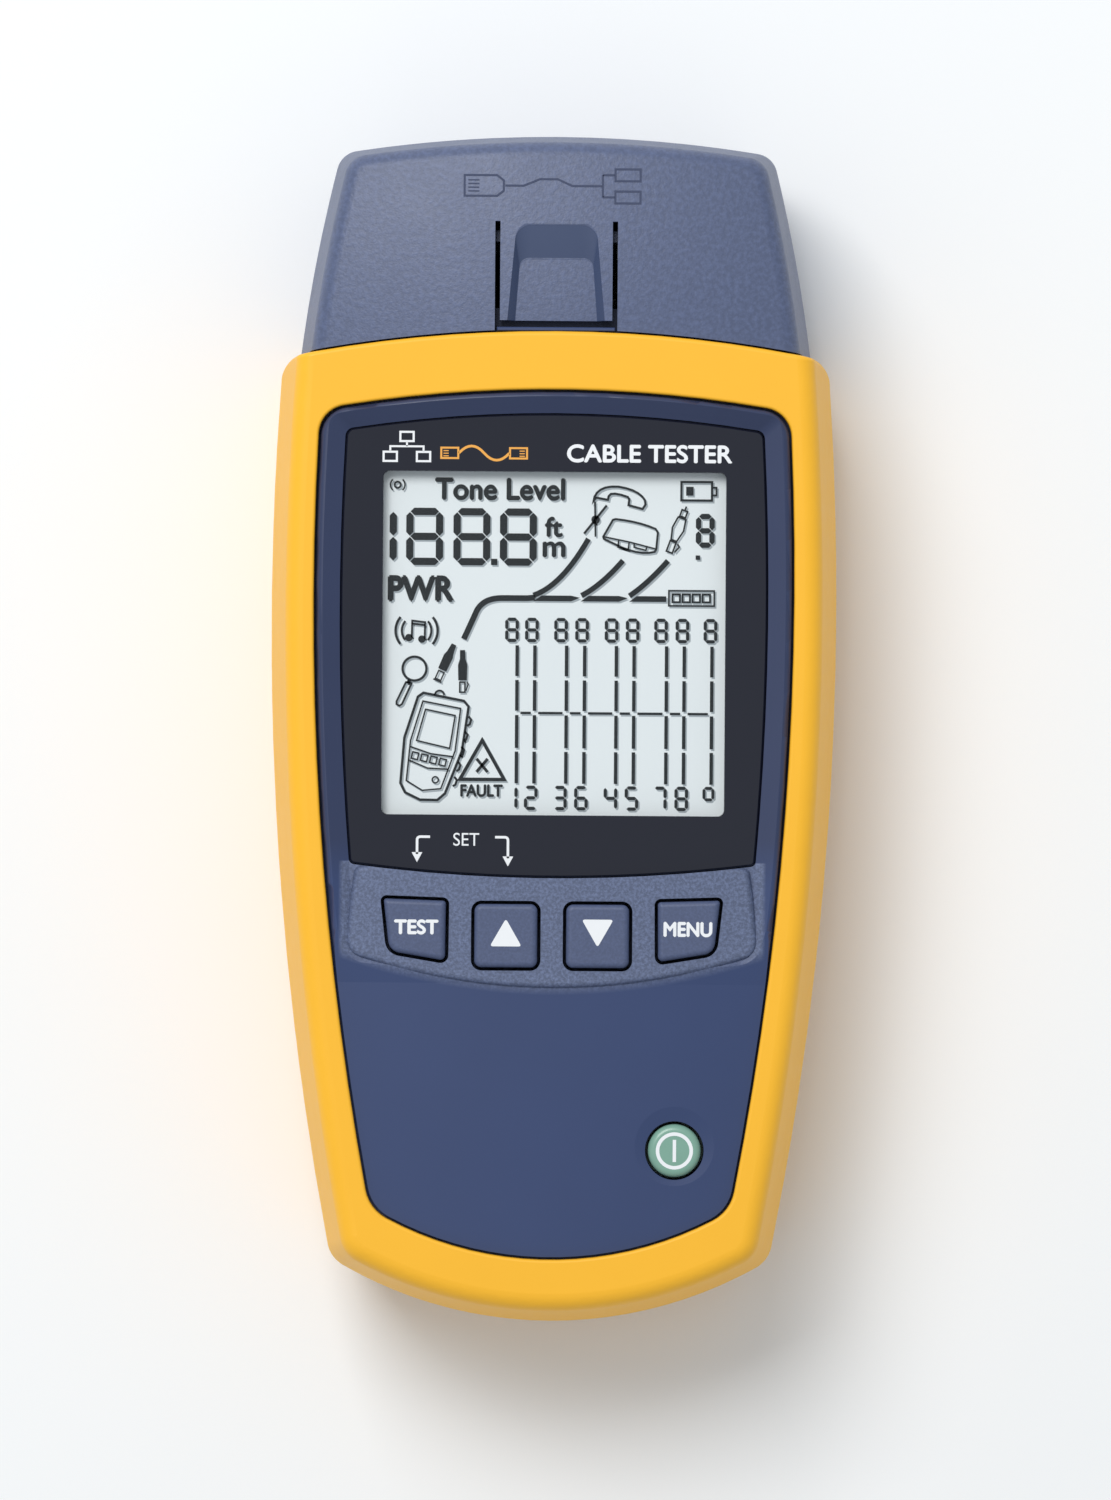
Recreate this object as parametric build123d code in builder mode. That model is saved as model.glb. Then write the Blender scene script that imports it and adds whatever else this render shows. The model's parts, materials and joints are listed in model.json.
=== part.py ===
from build123d import *
import os
from math import radians, sqrt, tan

os.makedirs("parts", exist_ok=True)

# Handheld network cable tester, lying on its back. Millimetres.
# +Z comes out of the display, +Y points at the detachable adapter, +X is right.
# The origin is under the middle of the object, on the surface that it lies on.

# ---- Outlines: each side is one large arc (greatest half-width, y where it is, radius),
# ---- each end is an arc (y of its tip, radius), corners are (top radius, bottom radius).
BOOT_SIDE = (38.8, 15.5, 453.8)
BOOT_END = (-81.3, 57.6)
BOOT_BLANK_TOP = (70.0, 181.0)
SEAM = (53.76, 181.0)
WINDOW_SIDE = (32.5, 18.4, 436.8)
WINDOW_TOP = (45.86, 176.0)
WINDOW_END = (-71.9, 47.3)
WINDOW_CORNERS = (4.0, 5.5)
LENS_SIDE = (29.0, 16.8, 413.1)
LENS_TOP = (42.68, 176.0)
LENS_END = (-20.26, 210.6)
LENS_CORNERS = (1.2, 0.8)
CAP_SIDE = (36.7, 23.5, 220.9)
CAP_TOP = (81.3, 178.0)
CAP_BLANK_END = (30.0, 181.0)

# ---- Heights
CASE_SPLIT_Z = 17.5
BOOT_FRONT_Z = 34.6
BACK_FACE_Z = 0.4
CASE_BOTTOM_Z = 2.1
CASE_TOP_Z = 31.8
CASE_CEILING_Z = 29.9
CASE_FLOOR_Z = 4.3
RIM_Z = 35.0
VALLEY_Z = 33.7
PLATEAU_Z = 34.8
LOWER_FACE_Z = 34.2
LOWER_FACE_END_Z = 33.5
KEY_TOP_Z = 35.6
LENS_Z = (32.3, 33.8)
MASK_Z = (32.0, 32.3)
GLASS_Z = (30.2, 31.9)
BOARD_Z = (21.6, 23.2)
MAT_Z = (23.25, 24.4)
CAP_FRONT_Z = 34.2
CAP_BACK_Z = 1.0

# ---- Boot and case
BOOT_FRONT_DRAFT = 9.0
BOOT_BACK_DRAFT = 6.0
BOOT_FRONT_ROUND = 2.5
BOOT_BACK_ROUND = 3.6
BELT_ROUND = 3.0
SHOULDER_ROUND = 3.0
BOOT_WALL = 3.4
FIT = 0.1
WALL = 2.2
CASE_TOP_Y = 51.6
WINDOW_GAP = 0.35
SCALLOP_R = 4.5
SCALLOP_DEPTH = 1.1
SCALLOP_PITCH = 12.0
SCALLOP_COUNT = 6
SCALLOP_START_Y = 20.0
SCALLOP_Z = 9.0
SCALLOP_HEIGHT = 9.0
SEAM_ROUND = 0.6
SEAM_GAP = 0.25
LIP_ROUND = 0.4
BACK_FACE_ROUND = 0.5
BOOT_BLANK = (BOOT_SIDE, BOOT_BLANK_TOP, BOOT_END, (6.0, 4.2))
CASE_CORNERS = (2.0, 2.0)

# ---- Face of the front case
RIM_ROUND = 0.8
LOWER_FACE_Y = (-27.0, -34.5)
VALLEY_END_Y = -32.0
VALLEY_CORNERS = (1.2, 3.0)
VALLEY_SLOPE_WIDTH = 3.2
PLATEAU_SIDE = (28.6, -34.0, 88.0)
PLATEAU_TOP = (-16.5, 210.6)
PLATEAU_END = (-35.8, 85.9)
PLATEAU_SLOPE = 0.9
PLATEAU_CORNERS = (1.0, 2.4)
PLATEAU_ROUND = 0.7
DISH_R = 5.1
DISH_DEPTH = 0.4
DISH_SPHERE_R = (DISH_R**2 + DISH_DEPTH**2) / (2 * DISH_DEPTH)
DISH_CENTRE_Z = LOWER_FACE_Z - 0.45 - DISH_DEPTH + DISH_SPHERE_R
LENS_EDGE = 0.25

# ---- Neck that the adapter slips over
NECK_HALF_X = 30.2
NECK_Z = (3.4, 30.4)
NECK_END_Y = 57.0
NECK_WALL = 2.0
NECK_ROUND = 3.0
NECK_START_Y = 49.0
RIB_Y = (53.8, 54.3)
RIB_TOP_Z = 33.9

# ---- Display
VIEW_CENTRE_Y = 11.5
VIEW = (46.4, 46.5)
GLASS = (52.4, 54.4)
LENS_GAP = 0.12
FRAME_X = 26.0
FRAME_Y = (-12.9, 38.5)
FRAME_BOTTOM_Z = 23.3
FRAME_FLOOR = 1.5
FRAME_WALL = 1.4
BOARD_X = 25.5

# ---- Keys
KEY_GAP = 0.45
OUTER_KEY_X = 18.6
OUTER_KEY_Y = -27.4
CENTRE_KEY_X = 6.2
CENTRE_KEY_Y = -28.05
CENTRE_KEY = (9.4, 9.45)
POWER_KEY_AT = (16.8, -57.0)
POWER_KEY_R = 3.58
POWER_KEY_TOP_Z = 34.35
KEY_BASE_Z = 26.6
KEY_PUCK_Z = 24.2
KEY_ROUND = 0.7
KEY_FLANGE = (10.6, 10.6)
POWER_KEY_GAP = 0.4
POWER_KEY_ROUND = 0.9
PUCK_R = 2.0
PAD_THICKNESS = 0.04
FLANGE_HEIGHT = 1.5
MAT_AROUND_KEYS = (50.0, 14.4)
MAT_TO_POWER_KEY = (9.6, 27.0)
MAT_TO_POWER_KEY_AT = (16.0, -47.5)
WEB_R = 4.0
WEB_WALL = 0.6

# ---- Ports
JACK = (16.0, 13.6)
JACK_OPENING = (11.8, 8.0)
JACK_X = 11.5
JACK_BOTTOM_Z = 7.9
JACK_Y = (42.4, 56.9)
COAX_X = -12.0
COAX_Z = 15.0
COAX_ROOT_Y = 46.0
COAX_THREAD_R = 4.76
COAX_TIP_Y = 64.6
COAX_BODY_R = 4.76
COAX_FLANGE_R = 5.8
COAX_FLANGE = 1.2
COAX_THREAD_START = 2.6
COAX_PITCH = 0.79
COAX_RINGS = 8
COAX_BORE_R = 3.4
COAX_NUT_R = 6.4
JACK_BACK = 1.6
JACK_FLOOR = 3.4
JACK_NOTCH = 1.6
CONTACT_PITCH = 1.02
CONTACT_WIDTH = 0.45

# ---- Fasteners
CASE_SCREW_AT = [(-28, 40.6), (28, 40.6), (-21, -62.8), (21, -62.8)]
BOARD_SCREW_AT = [(-22, 42.5), (22, 42.5), (-12.5, -67.4), (12.5, -67.4)]
DOOR_SCREW_AT = (0, -64.3)
BOSS_R = 2.8
BOARD_BOSS_R = 2.3
CASE_SCREW_R = 1.25
CASE_SCREW_HEAD_R = 2.2
CASE_SCREW_HEAD_H = 1.5
CASE_SCREW_HEAD_Z = 1.2
CASE_SCREW_TIP_Z = 26.0
BOARD_SCREW_R = 1.0
BOARD_SCREW_HEAD_R = 1.9
BOARD_SCREW_HEAD_H = 1.2
BOARD_SCREW_TIP_Z = 28.0
DOOR_SCREW_R = 1.25
DOOR_SCREW_HEAD_R = 2.6
DOOR_SCREW_TIP_Z = 8.0
DOOR_BOSS_R = 3.2
DOOR_BOSS_TOP_Z = 10.0
INSERT_R = 2.1
INSERT_Z = (2.6, 8.6)

# ---- Battery bay
BAY_X = 16.0
BAY_Y = (-59.8, -6.5)
BAY_WALL = 1.5
BAY_TOP_Z = 18.7
CELL_R = 7.1
CELL_LENGTH = 49.0
CELL_X = 7.7
CELL_Z = 10.6
CELL_SHIFT = 0.35
NUB_R = 2.7
NUB_HEIGHT = 1.1
DOOR_X = 16.9
DOOR_Y = (-67.5, -5.6)
DOOR_Z = (0.4, 2.4)

# ---- Adapter
CAP_DRAFT = 7.0
CAP_ROUND = 2.0
CAP_CORNER = 3.2
CAP_WALL = 2.2
PLATE_Y = (66.0, 67.5)
TAB_HALF_X = 7.6
TAB_SLOT = 0.7
TAB_Y = (55.2, 68.5)
TAB_BOTTOM_Z = 31.6
TAB_FLOOR_Z = 32.9
TAB_ROOT_GAP = 0.12
PLATE_HALF_X = 40.0
PLATE_Z = (3.0, 31.2)
CAP_JACK_X = -10.8
CAP_JACK_Y = (65.0, 76.9)
CAP_BOARD_Z = (8.3, 9.9)
CAP_COAX_X = 11.5
CAP_COAX_Z = 16.5
CAP_COAX_ROOT_Y = 74.0
CAP_BOARD_Y = (67.7, 76.6)
CAP_BOARD_X = 18.8
CAP_COAX_TIP_Y = 58.0
CAP_SCREW_AT = [(-22.5, 73.0), (22.5, 73.0)]


# ---- Outline helpers
def side_x(side, y):
    """Half-width of an outline at y."""
    half, widest_y, radius = side
    return half - radius + sqrt(radius**2 - (y - widest_y) ** 2)


def end_fall(radius, x):
    """How far an end arc has fallen back from its tip at x."""
    return radius - sqrt(radius**2 - x**2)


def corner(side, end, sign):
    """Where a side meets an end: sign is 1 at the top end and -1 at the bottom end."""
    tip, radius = end
    y = tip
    for _ in range(40):
        x = side_x(side, y)
        y = tip - sign * end_fall(radius, x)
    return x, y


def outline(z, side, top, bottom, corners, inset=0.0):
    """Four-arc outline at height z, moved inwards by inset and then given round corners."""
    x_top, y_top = corner(side, top, 1)
    x_low, y_low = corner(side, bottom, -1)
    y_mid = (y_top + y_low) / 2
    x_mid = side_x(side, y_mid)
    with BuildSketch(Plane.XY.offset(z)) as shape:
        with BuildLine():
            ThreePointArc((-x_top, y_top), (0, top[0]), (x_top, y_top))
            ThreePointArc((x_top, y_top), (x_mid, y_mid), (x_low, y_low))
            ThreePointArc((x_low, y_low), (0, bottom[0]), (-x_low, y_low))
            ThreePointArc((-x_low, y_low), (-x_mid, y_mid), (-x_top, y_top))
        make_face()
        if inset:
            offset(amount=-inset, kind=Kind.INTERSECTION)
        fillet(shape.vertices().group_by(Axis.Y)[-1], corners[0])
        fillet(shape.vertices().group_by(Axis.Y)[0], corners[1])
    return shape.sketch


def window(z, inset=0.0):
    return outline(z, WINDOW_SIDE, WINDOW_TOP, WINDOW_END, WINDOW_CORNERS, inset)


def case_outline(z, inset):
    """The boot's own outline, ending just inside the seam, moved inwards by inset."""
    top = (CASE_TOP_Y + inset, SEAM[1])
    return outline(z, BOOT_SIDE, top, BOOT_END, CASE_CORNERS, inset)


def key_outline(z, side, inset):
    """Outer key opening: side is -1 on the left and 1 on the right."""
    with BuildSketch(Plane.XY.offset(z)) as shape:
        with BuildLine():
            Polyline(
                (side * 23.25, -22.65),
                (side * 13.87, -22.95),
                (side * 13.95, -32.0),
                (side * 22.35, -30.6),
                close=True,
            )
        make_face()
        outer = shape.vertices().sort_by(Axis.Y)
        fillet([outer[1]], 2.2)
        sharp = shape.vertices().group_by(Axis.Y)
        fillet(sharp[0], 1.1)
        fillet(shape.vertices().group_by(Axis.Y)[-1], 0.8)
        fillet(shape.vertices().filter_by_position(Axis.Y, -23.0, -22.9), 0.9)
        offset(amount=-inset)
    return shape.sketch


def centre_key_outline(z, x, inset):
    width, height = CENTRE_KEY
    with BuildSketch(Plane.XY.offset(z)) as shape:
        with Locations((x, CENTRE_KEY_Y)):
            RectangleRounded(width - 2 * inset, height - 2 * inset, 1.4 - inset)
    return shape.sketch


def plateau(z, inset):
    """Outline of the key ridge: the lens pocket trims its top, and an arc ends it below the keys."""
    return outline(z, PLATEAU_SIDE, PLATEAU_TOP, PLATEAU_END, PLATEAU_CORNERS, inset)


def inside_window(edge):
    """True for an edge of the boot's window, false for its outer edges."""
    centre = edge.center()
    return abs(centre.X) < side_x(WINDOW_SIDE, centre.Y) + 0.5 and centre.Y < WINDOW_TOP[0] + 0.5


def drafted(specs, z_wide, z_end, draft, inset=0.0):
    """Outline at its widest height, joined to the same outline drawn in by the draft."""
    fall = abs(z_end - z_wide) * tan(radians(draft))
    loft([outline(z_wide, *specs, inset), outline(z_end, *specs, inset + fall)], ruled=True)


def screw(z_head, z_tip, head_r, head_h, shank_r, up=True):
    """Cross-recessed machine screw along Z, its head at z_head, at the current locations."""
    sign = 1 if up else -1
    low_head = z_head if up else z_head - head_h
    with Locations((0, 0, low_head + head_h / 2)):
        Cylinder(head_r, head_h)
    z_neck = z_head + sign * head_h
    with Locations((0, 0, (z_neck + z_tip) / 2)):
        Cylinder(shank_r, abs(z_tip - z_neck))
    with Locations((0, 0, z_head + sign * head_h * 0.2)):
        Box(head_r * 1.1, head_r * 0.26, head_h * 0.8, mode=Mode.SUBTRACT)
        Box(head_r * 0.26, head_r * 1.1, head_h * 0.8, mode=Mode.SUBTRACT)


# ==== Bumper boot: elastomer sleeve round the case ====
with BuildPart() as bumper_boot:
    drafted(BOOT_BLANK, CASE_SPLIT_Z, BOOT_FRONT_Z, BOOT_FRONT_DRAFT)
    drafted(BOOT_BLANK, CASE_SPLIT_Z, 0, BOOT_BACK_DRAFT)
    fillet(bumper_boot.edges().filter_by(lambda e: abs(e.center().Z - CASE_SPLIT_Z) < 0.01), BELT_ROUND)
    fillet(bumper_boot.edges().group_by(Axis.Z)[-1], BOOT_FRONT_ROUND)
    fillet(bumper_boot.edges().group_by(Axis.Z)[0], BOOT_BACK_ROUND)
    # the top end follows the seam, with rounded shoulders
    boot_end = outline(-1, BOOT_SIDE, SEAM, BOOT_END, (SHOULDER_ROUND, BOOT_BLANK[3][1]))
    extrude(boot_end, amount=BOOT_FRONT_Z + 5, mode=Mode.INTERSECT)
    end_edges = bumper_boot.edges().filter_by(lambda e: e.center().Y > SEAM[0] - 1)
    fillet(end_edges.filter_by(lambda e: e.center().Z > 30), SEAM_ROUND)
    # room for the case, the windows front and back, and the way out for the neck
    extrude(case_outline(CASE_BOTTOM_Z - FIT, BOOT_WALL), amount=CASE_TOP_Z - CASE_BOTTOM_Z + 2 * FIT,
            mode=Mode.SUBTRACT)
    extrude(window(-1), amount=BOOT_FRONT_Z + 5, mode=Mode.SUBTRACT)
    with BuildSketch(Plane.XZ.offset(-40)):
        with Locations((0, (NECK_Z[0] + NECK_Z[1]) / 2)):
            RectangleRounded(2 * (NECK_HALF_X + FIT), NECK_Z[1] - NECK_Z[0] + 2 * FIT, NECK_ROUND)
    extrude(amount=-30, mode=Mode.SUBTRACT)
    # edge of the front window
    lip = bumper_boot.edges().filter_by(lambda e: abs(e.center().Z - BOOT_FRONT_Z) < 0.01)
    fillet(lip.filter_by(lambda e: inside_window(e)), LIP_ROUND)
    # grip scallops low on both sides
    for index in range(SCALLOP_COUNT):
        y = SCALLOP_START_Y - index * SCALLOP_PITCH
        x = side_x(BOOT_SIDE, y) - SCALLOP_DEPTH + SCALLOP_R - 0.9
        with Locations((x, y, SCALLOP_Z), (-x, y, SCALLOP_Z)):
            Cylinder(SCALLOP_R, SCALLOP_HEIGHT, mode=Mode.SUBTRACT)
bumper_boot.part.label = "bumper_boot"
export_step(bumper_boot.part, "parts/bumper_boot.step")

# ==== Front case: moulded shell with the face, key openings and half of the neck ====
with BuildPart() as front_case:
    extrude(case_outline(CASE_SPLIT_Z, BOOT_WALL + FIT), amount=CASE_TOP_Z - CASE_SPLIT_Z)
    extrude(case_outline(CASE_SPLIT_Z, BOOT_WALL + FIT + WALL), amount=CASE_CEILING_Z - CASE_SPLIT_Z,
            mode=Mode.SUBTRACT)
    # raised face that fills the boot's window
    extrude(window(CASE_TOP_Z, WINDOW_GAP), amount=RIM_Z - CASE_TOP_Z)
    fillet(front_case.edges().group_by(Axis.Z)[-1], RIM_ROUND)
    # the face below the keys is lower and slopes towards the bottom end
    with BuildSketch(Plane.YZ):
        with BuildLine():
            Polyline(
                (LOWER_FACE_Y[0], RIM_Z + 1),
                (LOWER_FACE_Y[0], RIM_Z),
                (LOWER_FACE_Y[1], LOWER_FACE_Z),
                (WINDOW_END[0] - 1, LOWER_FACE_END_Z),
                (WINDOW_END[0] - 1, RIM_Z + 1),
                close=True,
            )
        make_face()
    extrude(amount=60, both=True, mode=Mode.SUBTRACT)
    # valley that slopes down from the rim to the lens
    valley = (LENS_SIDE, LENS_TOP, (VALLEY_END_Y, LENS_END[1]), VALLEY_CORNERS)
    loft(
        [outline(VALLEY_Z, *valley), outline(RIM_Z + 0.5, *valley, -VALLEY_SLOPE_WIDTH)],
        ruled=True,
        mode=Mode.SUBTRACT,
    )
    # ridge that carries the four keys
    with BuildPart(mode=Mode.PRIVATE) as ridge:
        loft([plateau(VALLEY_Z - 2, 0), plateau(PLATEAU_Z, PLATEAU_SLOPE)], ruled=True)
        fillet(ridge.edges().group_by(Axis.Z)[-1], PLATEAU_ROUND)
    add(ridge.part)
    # dish and opening for the power key
    with Locations((*POWER_KEY_AT, DISH_CENTRE_Z)):
        Sphere(DISH_SPHERE_R, mode=Mode.SUBTRACT)
    # lens pocket and the opening behind it for the display glass
    extrude(outline(MASK_Z[0], LENS_SIDE, LENS_TOP, LENS_END, LENS_CORNERS), amount=10, mode=Mode.SUBTRACT)
    with Locations((0, VIEW_CENTRE_Y, CASE_CEILING_Z)):
        Box(GLASS[0] + 0.6, GLASS[1] + 0.6, 10, mode=Mode.SUBTRACT)
    # key openings
    for side in (-1, 1):
        extrude(key_outline(CASE_CEILING_Z - 1, side, 0), amount=20, mode=Mode.SUBTRACT)
        extrude(centre_key_outline(CASE_CEILING_Z - 1, side * CENTRE_KEY_X, 0), amount=20, mode=Mode.SUBTRACT)
    with Locations((*POWER_KEY_AT, CASE_TOP_Z)):
        Cylinder(POWER_KEY_R + POWER_KEY_GAP, 20, mode=Mode.SUBTRACT)
    # neck, closed at its end by the port wall
    with BuildSketch(Plane.XZ.offset(-NECK_START_Y)):
        with Locations((0, (NECK_Z[0] + NECK_Z[1]) / 2)):
            RectangleRounded(2 * NECK_HALF_X, NECK_Z[1] - NECK_Z[0], NECK_ROUND)
        with Locations((0, 0)):
            Rectangle(100, 2 * CASE_SPLIT_Z, mode=Mode.SUBTRACT)
    extrude(amount=-(NECK_END_Y - NECK_START_Y))
    neck_inner_z = NECK_Z[1] - NECK_WALL
    with Locations((0, (44 + NECK_END_Y - NECK_WALL) / 2, (CASE_SPLIT_Z + neck_inner_z) / 2)):
        Box(2 * (NECK_HALF_X - NECK_WALL), NECK_END_Y - NECK_WALL - 44, neck_inner_z - CASE_SPLIT_Z,
            mode=Mode.SUBTRACT)
    # screw bosses: case screws all the way to the split, board screws down to the board
    with Locations([(x, y, (CASE_SPLIT_Z + CASE_CEILING_Z) / 2) for x, y in CASE_SCREW_AT]):
        Cylinder(BOSS_R, CASE_CEILING_Z - CASE_SPLIT_Z)
    with Locations([(x, y, (BOARD_Z[1] + CASE_CEILING_Z) / 2) for x, y in BOARD_SCREW_AT]):
        Cylinder(BOARD_BOSS_R, CASE_CEILING_Z - BOARD_Z[1])
    with Locations([(x, y, CASE_SPLIT_Z) for x, y in CASE_SCREW_AT]):
        Cylinder(CASE_SCREW_R + 0.02, 2 * (CASE_SCREW_TIP_Z - CASE_SPLIT_Z), mode=Mode.SUBTRACT)
    with Locations([(x, y, BOARD_Z[1]) for x, y in BOARD_SCREW_AT]):
        Cylinder(BOARD_SCREW_R + 0.02, 2 * (BOARD_SCREW_TIP_Z - BOARD_Z[1]), mode=Mode.SUBTRACT)
    # openings for the jack and the coaxial connector, shared with the rear case
    with Locations((JACK_X, NECK_END_Y, JACK_BOTTOM_Z + JACK[1] / 2)):
        Box(JACK[0] + 2 * FIT, 6, JACK[1] + 2 * FIT, mode=Mode.SUBTRACT)
    with Locations(Location((COAX_X, NECK_END_Y, COAX_Z), (90, 0, 0))):
        Cylinder(COAX_BODY_R + FIT, 6, mode=Mode.SUBTRACT)
front_case.part.label = "front_case"
export_step(front_case.part, "parts/front_case.step")

# ==== Strike: low rib on the neck that the latch tab stops against ====
with BuildPart() as latch_strike:
    with Locations((0, (RIB_Y[0] + RIB_Y[1]) / 2, (NECK_Z[1] + RIB_TOP_Z) / 2)):
        Box(2 * (TAB_HALF_X + TAB_SLOT - 0.3), RIB_Y[1] - RIB_Y[0], RIB_TOP_Z - NECK_Z[1])
    chamfer(latch_strike.edges().group_by(Axis.Z)[-1], 0.1)
latch_strike.part.label = "latch_strike"
export_step(latch_strike.part, "parts/latch_strike.step")

# ==== Rear case: moulded shell with the battery bay and the other half of the neck ====
with BuildPart() as rear_case:
    extrude(case_outline(CASE_BOTTOM_Z, BOOT_WALL + FIT), amount=CASE_SPLIT_Z - FIT / 2 - CASE_BOTTOM_Z)
    extrude(window(BACK_FACE_Z, WINDOW_GAP), amount=CASE_BOTTOM_Z - BACK_FACE_Z)
    fillet(rear_case.edges().group_by(Axis.Z)[0], BACK_FACE_ROUND)
    extrude(case_outline(CASE_FLOOR_Z, BOOT_WALL + FIT + WALL), amount=CASE_SPLIT_Z, mode=Mode.SUBTRACT)
    # battery tub
    tub_y = (BAY_Y[0] - BAY_WALL, BAY_Y[1] + BAY_WALL)
    tub_top = BAY_TOP_Z + BAY_WALL
    with Locations((0, (tub_y[0] + tub_y[1]) / 2, (CASE_FLOOR_Z + tub_top) / 2)):
        Box(2 * (BAY_X + BAY_WALL), tub_y[1] - tub_y[0], tub_top - CASE_FLOOR_Z)
    with Locations((0, (BAY_Y[0] + BAY_Y[1]) / 2, BAY_TOP_Z / 2)):
        Box(2 * BAY_X, BAY_Y[1] - BAY_Y[0], BAY_TOP_Z, mode=Mode.SUBTRACT)
    # column for the door screw
    with Locations((*DOOR_SCREW_AT, (CASE_FLOOR_Z + DOOR_BOSS_TOP_Z) / 2)):
        Cylinder(DOOR_BOSS_R, DOOR_BOSS_TOP_Z - CASE_FLOOR_Z)
    # recess for the battery door
    with Locations((0, (DOOR_Y[0] + DOOR_Y[1]) / 2, DOOR_Z[1] / 2)):
        Box(2 * (DOOR_X + 0.15), DOOR_Y[1] - DOOR_Y[0] + 0.3, DOOR_Z[1] + 0.2, mode=Mode.SUBTRACT)
    with Locations((*DOOR_SCREW_AT, INSERT_Z[1] / 2)):
        Cylinder(INSERT_R + 0.02, INSERT_Z[1], mode=Mode.SUBTRACT)
    # case screw columns, with head recesses in the back
    with Locations([(x, y, (CASE_FLOOR_Z + CASE_SPLIT_Z - FIT / 2) / 2) for x, y in CASE_SCREW_AT]):
        Cylinder(BOSS_R, CASE_SPLIT_Z - FIT / 2 - CASE_FLOOR_Z)
    with Locations([(x, y, CASE_SCREW_HEAD_Z) for x, y in CASE_SCREW_AT]):
        Cylinder(CASE_SCREW_R + FIT, 2 * (CASE_SPLIT_Z - CASE_SCREW_HEAD_Z), mode=Mode.SUBTRACT)
    with Locations([(x, y, (CASE_SCREW_HEAD_Z + CASE_SCREW_HEAD_H) / 2) for x, y in CASE_SCREW_AT]):
        Cylinder(CASE_SCREW_HEAD_R + FIT, CASE_SCREW_HEAD_Z + CASE_SCREW_HEAD_H, mode=Mode.SUBTRACT)
    # neck
    with BuildSketch(Plane.XZ.offset(-NECK_START_Y)):
        with Locations((0, (NECK_Z[0] + NECK_Z[1]) / 2)):
            RectangleRounded(2 * NECK_HALF_X, NECK_Z[1] - NECK_Z[0], NECK_ROUND)
        with Locations((0, CASE_SPLIT_Z + 50 - FIT / 2)):
            Rectangle(100, 100, mode=Mode.SUBTRACT)
    extrude(amount=-(NECK_END_Y - NECK_START_Y))
    neck_floor_z = NECK_Z[0] + NECK_WALL
    with Locations((0, (44 + NECK_END_Y - NECK_WALL) / 2, (CASE_SPLIT_Z + neck_floor_z) / 2)):
        Box(2 * (NECK_HALF_X - NECK_WALL), NECK_END_Y - NECK_WALL - 44, CASE_SPLIT_Z - neck_floor_z,
            mode=Mode.SUBTRACT)
    with Locations((JACK_X, NECK_END_Y, JACK_BOTTOM_Z + JACK[1] / 2)):
        Box(JACK[0] + 2 * FIT, 6, JACK[1] + 2 * FIT, mode=Mode.SUBTRACT)
    with Locations(Location((COAX_X, NECK_END_Y, COAX_Z), (90, 0, 0))):
        Cylinder(COAX_BODY_R + FIT, 6, mode=Mode.SUBTRACT)
rear_case.part.label = "rear_case"
export_step(rear_case.part, "parts/rear_case.step")

# ==== Display: printed lens, black mask, glass, frame, light guide ====
with BuildPart() as display_lens:
    lens_shape = outline(LENS_Z[0], LENS_SIDE, LENS_TOP, LENS_END, LENS_CORNERS, LENS_GAP)
    extrude(lens_shape, amount=LENS_Z[1] - LENS_Z[0])
    chamfer(display_lens.edges().group_by(Axis.Z)[-1], LENS_EDGE)
display_lens.part.label = "display_lens"
export_step(display_lens.part, "parts/display_lens.step")

with BuildPart() as lens_mask:
    mask_shape = outline(MASK_Z[0], LENS_SIDE, LENS_TOP, LENS_END, LENS_CORNERS, LENS_GAP)
    extrude(mask_shape, amount=MASK_Z[1] - MASK_Z[0])
    with BuildSketch(Plane.XY.offset(MASK_Z[0])):
        with Locations((0, VIEW_CENTRE_Y)):
            RectangleRounded(*VIEW, 0.9)
    extrude(amount=1, mode=Mode.SUBTRACT)
lens_mask.part.label = "lens_mask"
export_step(lens_mask.part, "parts/lens_mask.step")

with BuildPart() as lcd_glass:
    with Locations((0, VIEW_CENTRE_Y, (GLASS_Z[0] + GLASS_Z[1]) / 2)):
        Box(GLASS[0], GLASS[1], GLASS_Z[1] - GLASS_Z[0])
    chamfer(lcd_glass.edges().group_by(Axis.Z)[-1], 0.2)
lcd_glass.part.label = "lcd_glass"
export_step(lcd_glass.part, "parts/lcd_glass.step")

with BuildPart() as lcd_frame:
    frame_height = GLASS_Z[0] - 0.1 - FRAME_BOTTOM_Z
    with Locations((0, (FRAME_Y[0] + FRAME_Y[1]) / 2, FRAME_BOTTOM_Z + frame_height / 2)):
        Box(2 * FRAME_X, FRAME_Y[1] - FRAME_Y[0], frame_height)
    with Locations((0, (FRAME_Y[0] + FRAME_Y[1]) / 2, FRAME_BOTTOM_Z + FRAME_FLOOR + frame_height / 2)):
        Box(2 * (FRAME_X - FRAME_WALL), FRAME_Y[1] - FRAME_Y[0] - 2 * FRAME_WALL, frame_height,
            mode=Mode.SUBTRACT)
    fillet(lcd_frame.edges().filter_by(Axis.Z).group_by(SortBy.DISTANCE)[-1], 1.0)
lcd_frame.part.label = "lcd_frame"
export_step(lcd_frame.part, "parts/lcd_frame.step")

guide_y = (FRAME_Y[0] + FRAME_WALL + 0.1, FRAME_Y[1] - FRAME_WALL - 1.8)
guide_z = (FRAME_BOTTOM_Z + FRAME_FLOOR + 0.05, GLASS_Z[0] - 0.2)
with BuildPart() as backlight_guide:
    with Locations((0, (guide_y[0] + guide_y[1]) / 2, (guide_z[0] + guide_z[1]) / 2)):
        Box(2 * (FRAME_X - FRAME_WALL - 0.1), guide_y[1] - guide_y[0], guide_z[1] - guide_z[0])
    chamfer(backlight_guide.edges().group_by(Axis.Z)[0], 0.6)
backlight_guide.part.label = "backlight_guide"
export_step(backlight_guide.part, "parts/backlight_guide.step")

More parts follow.
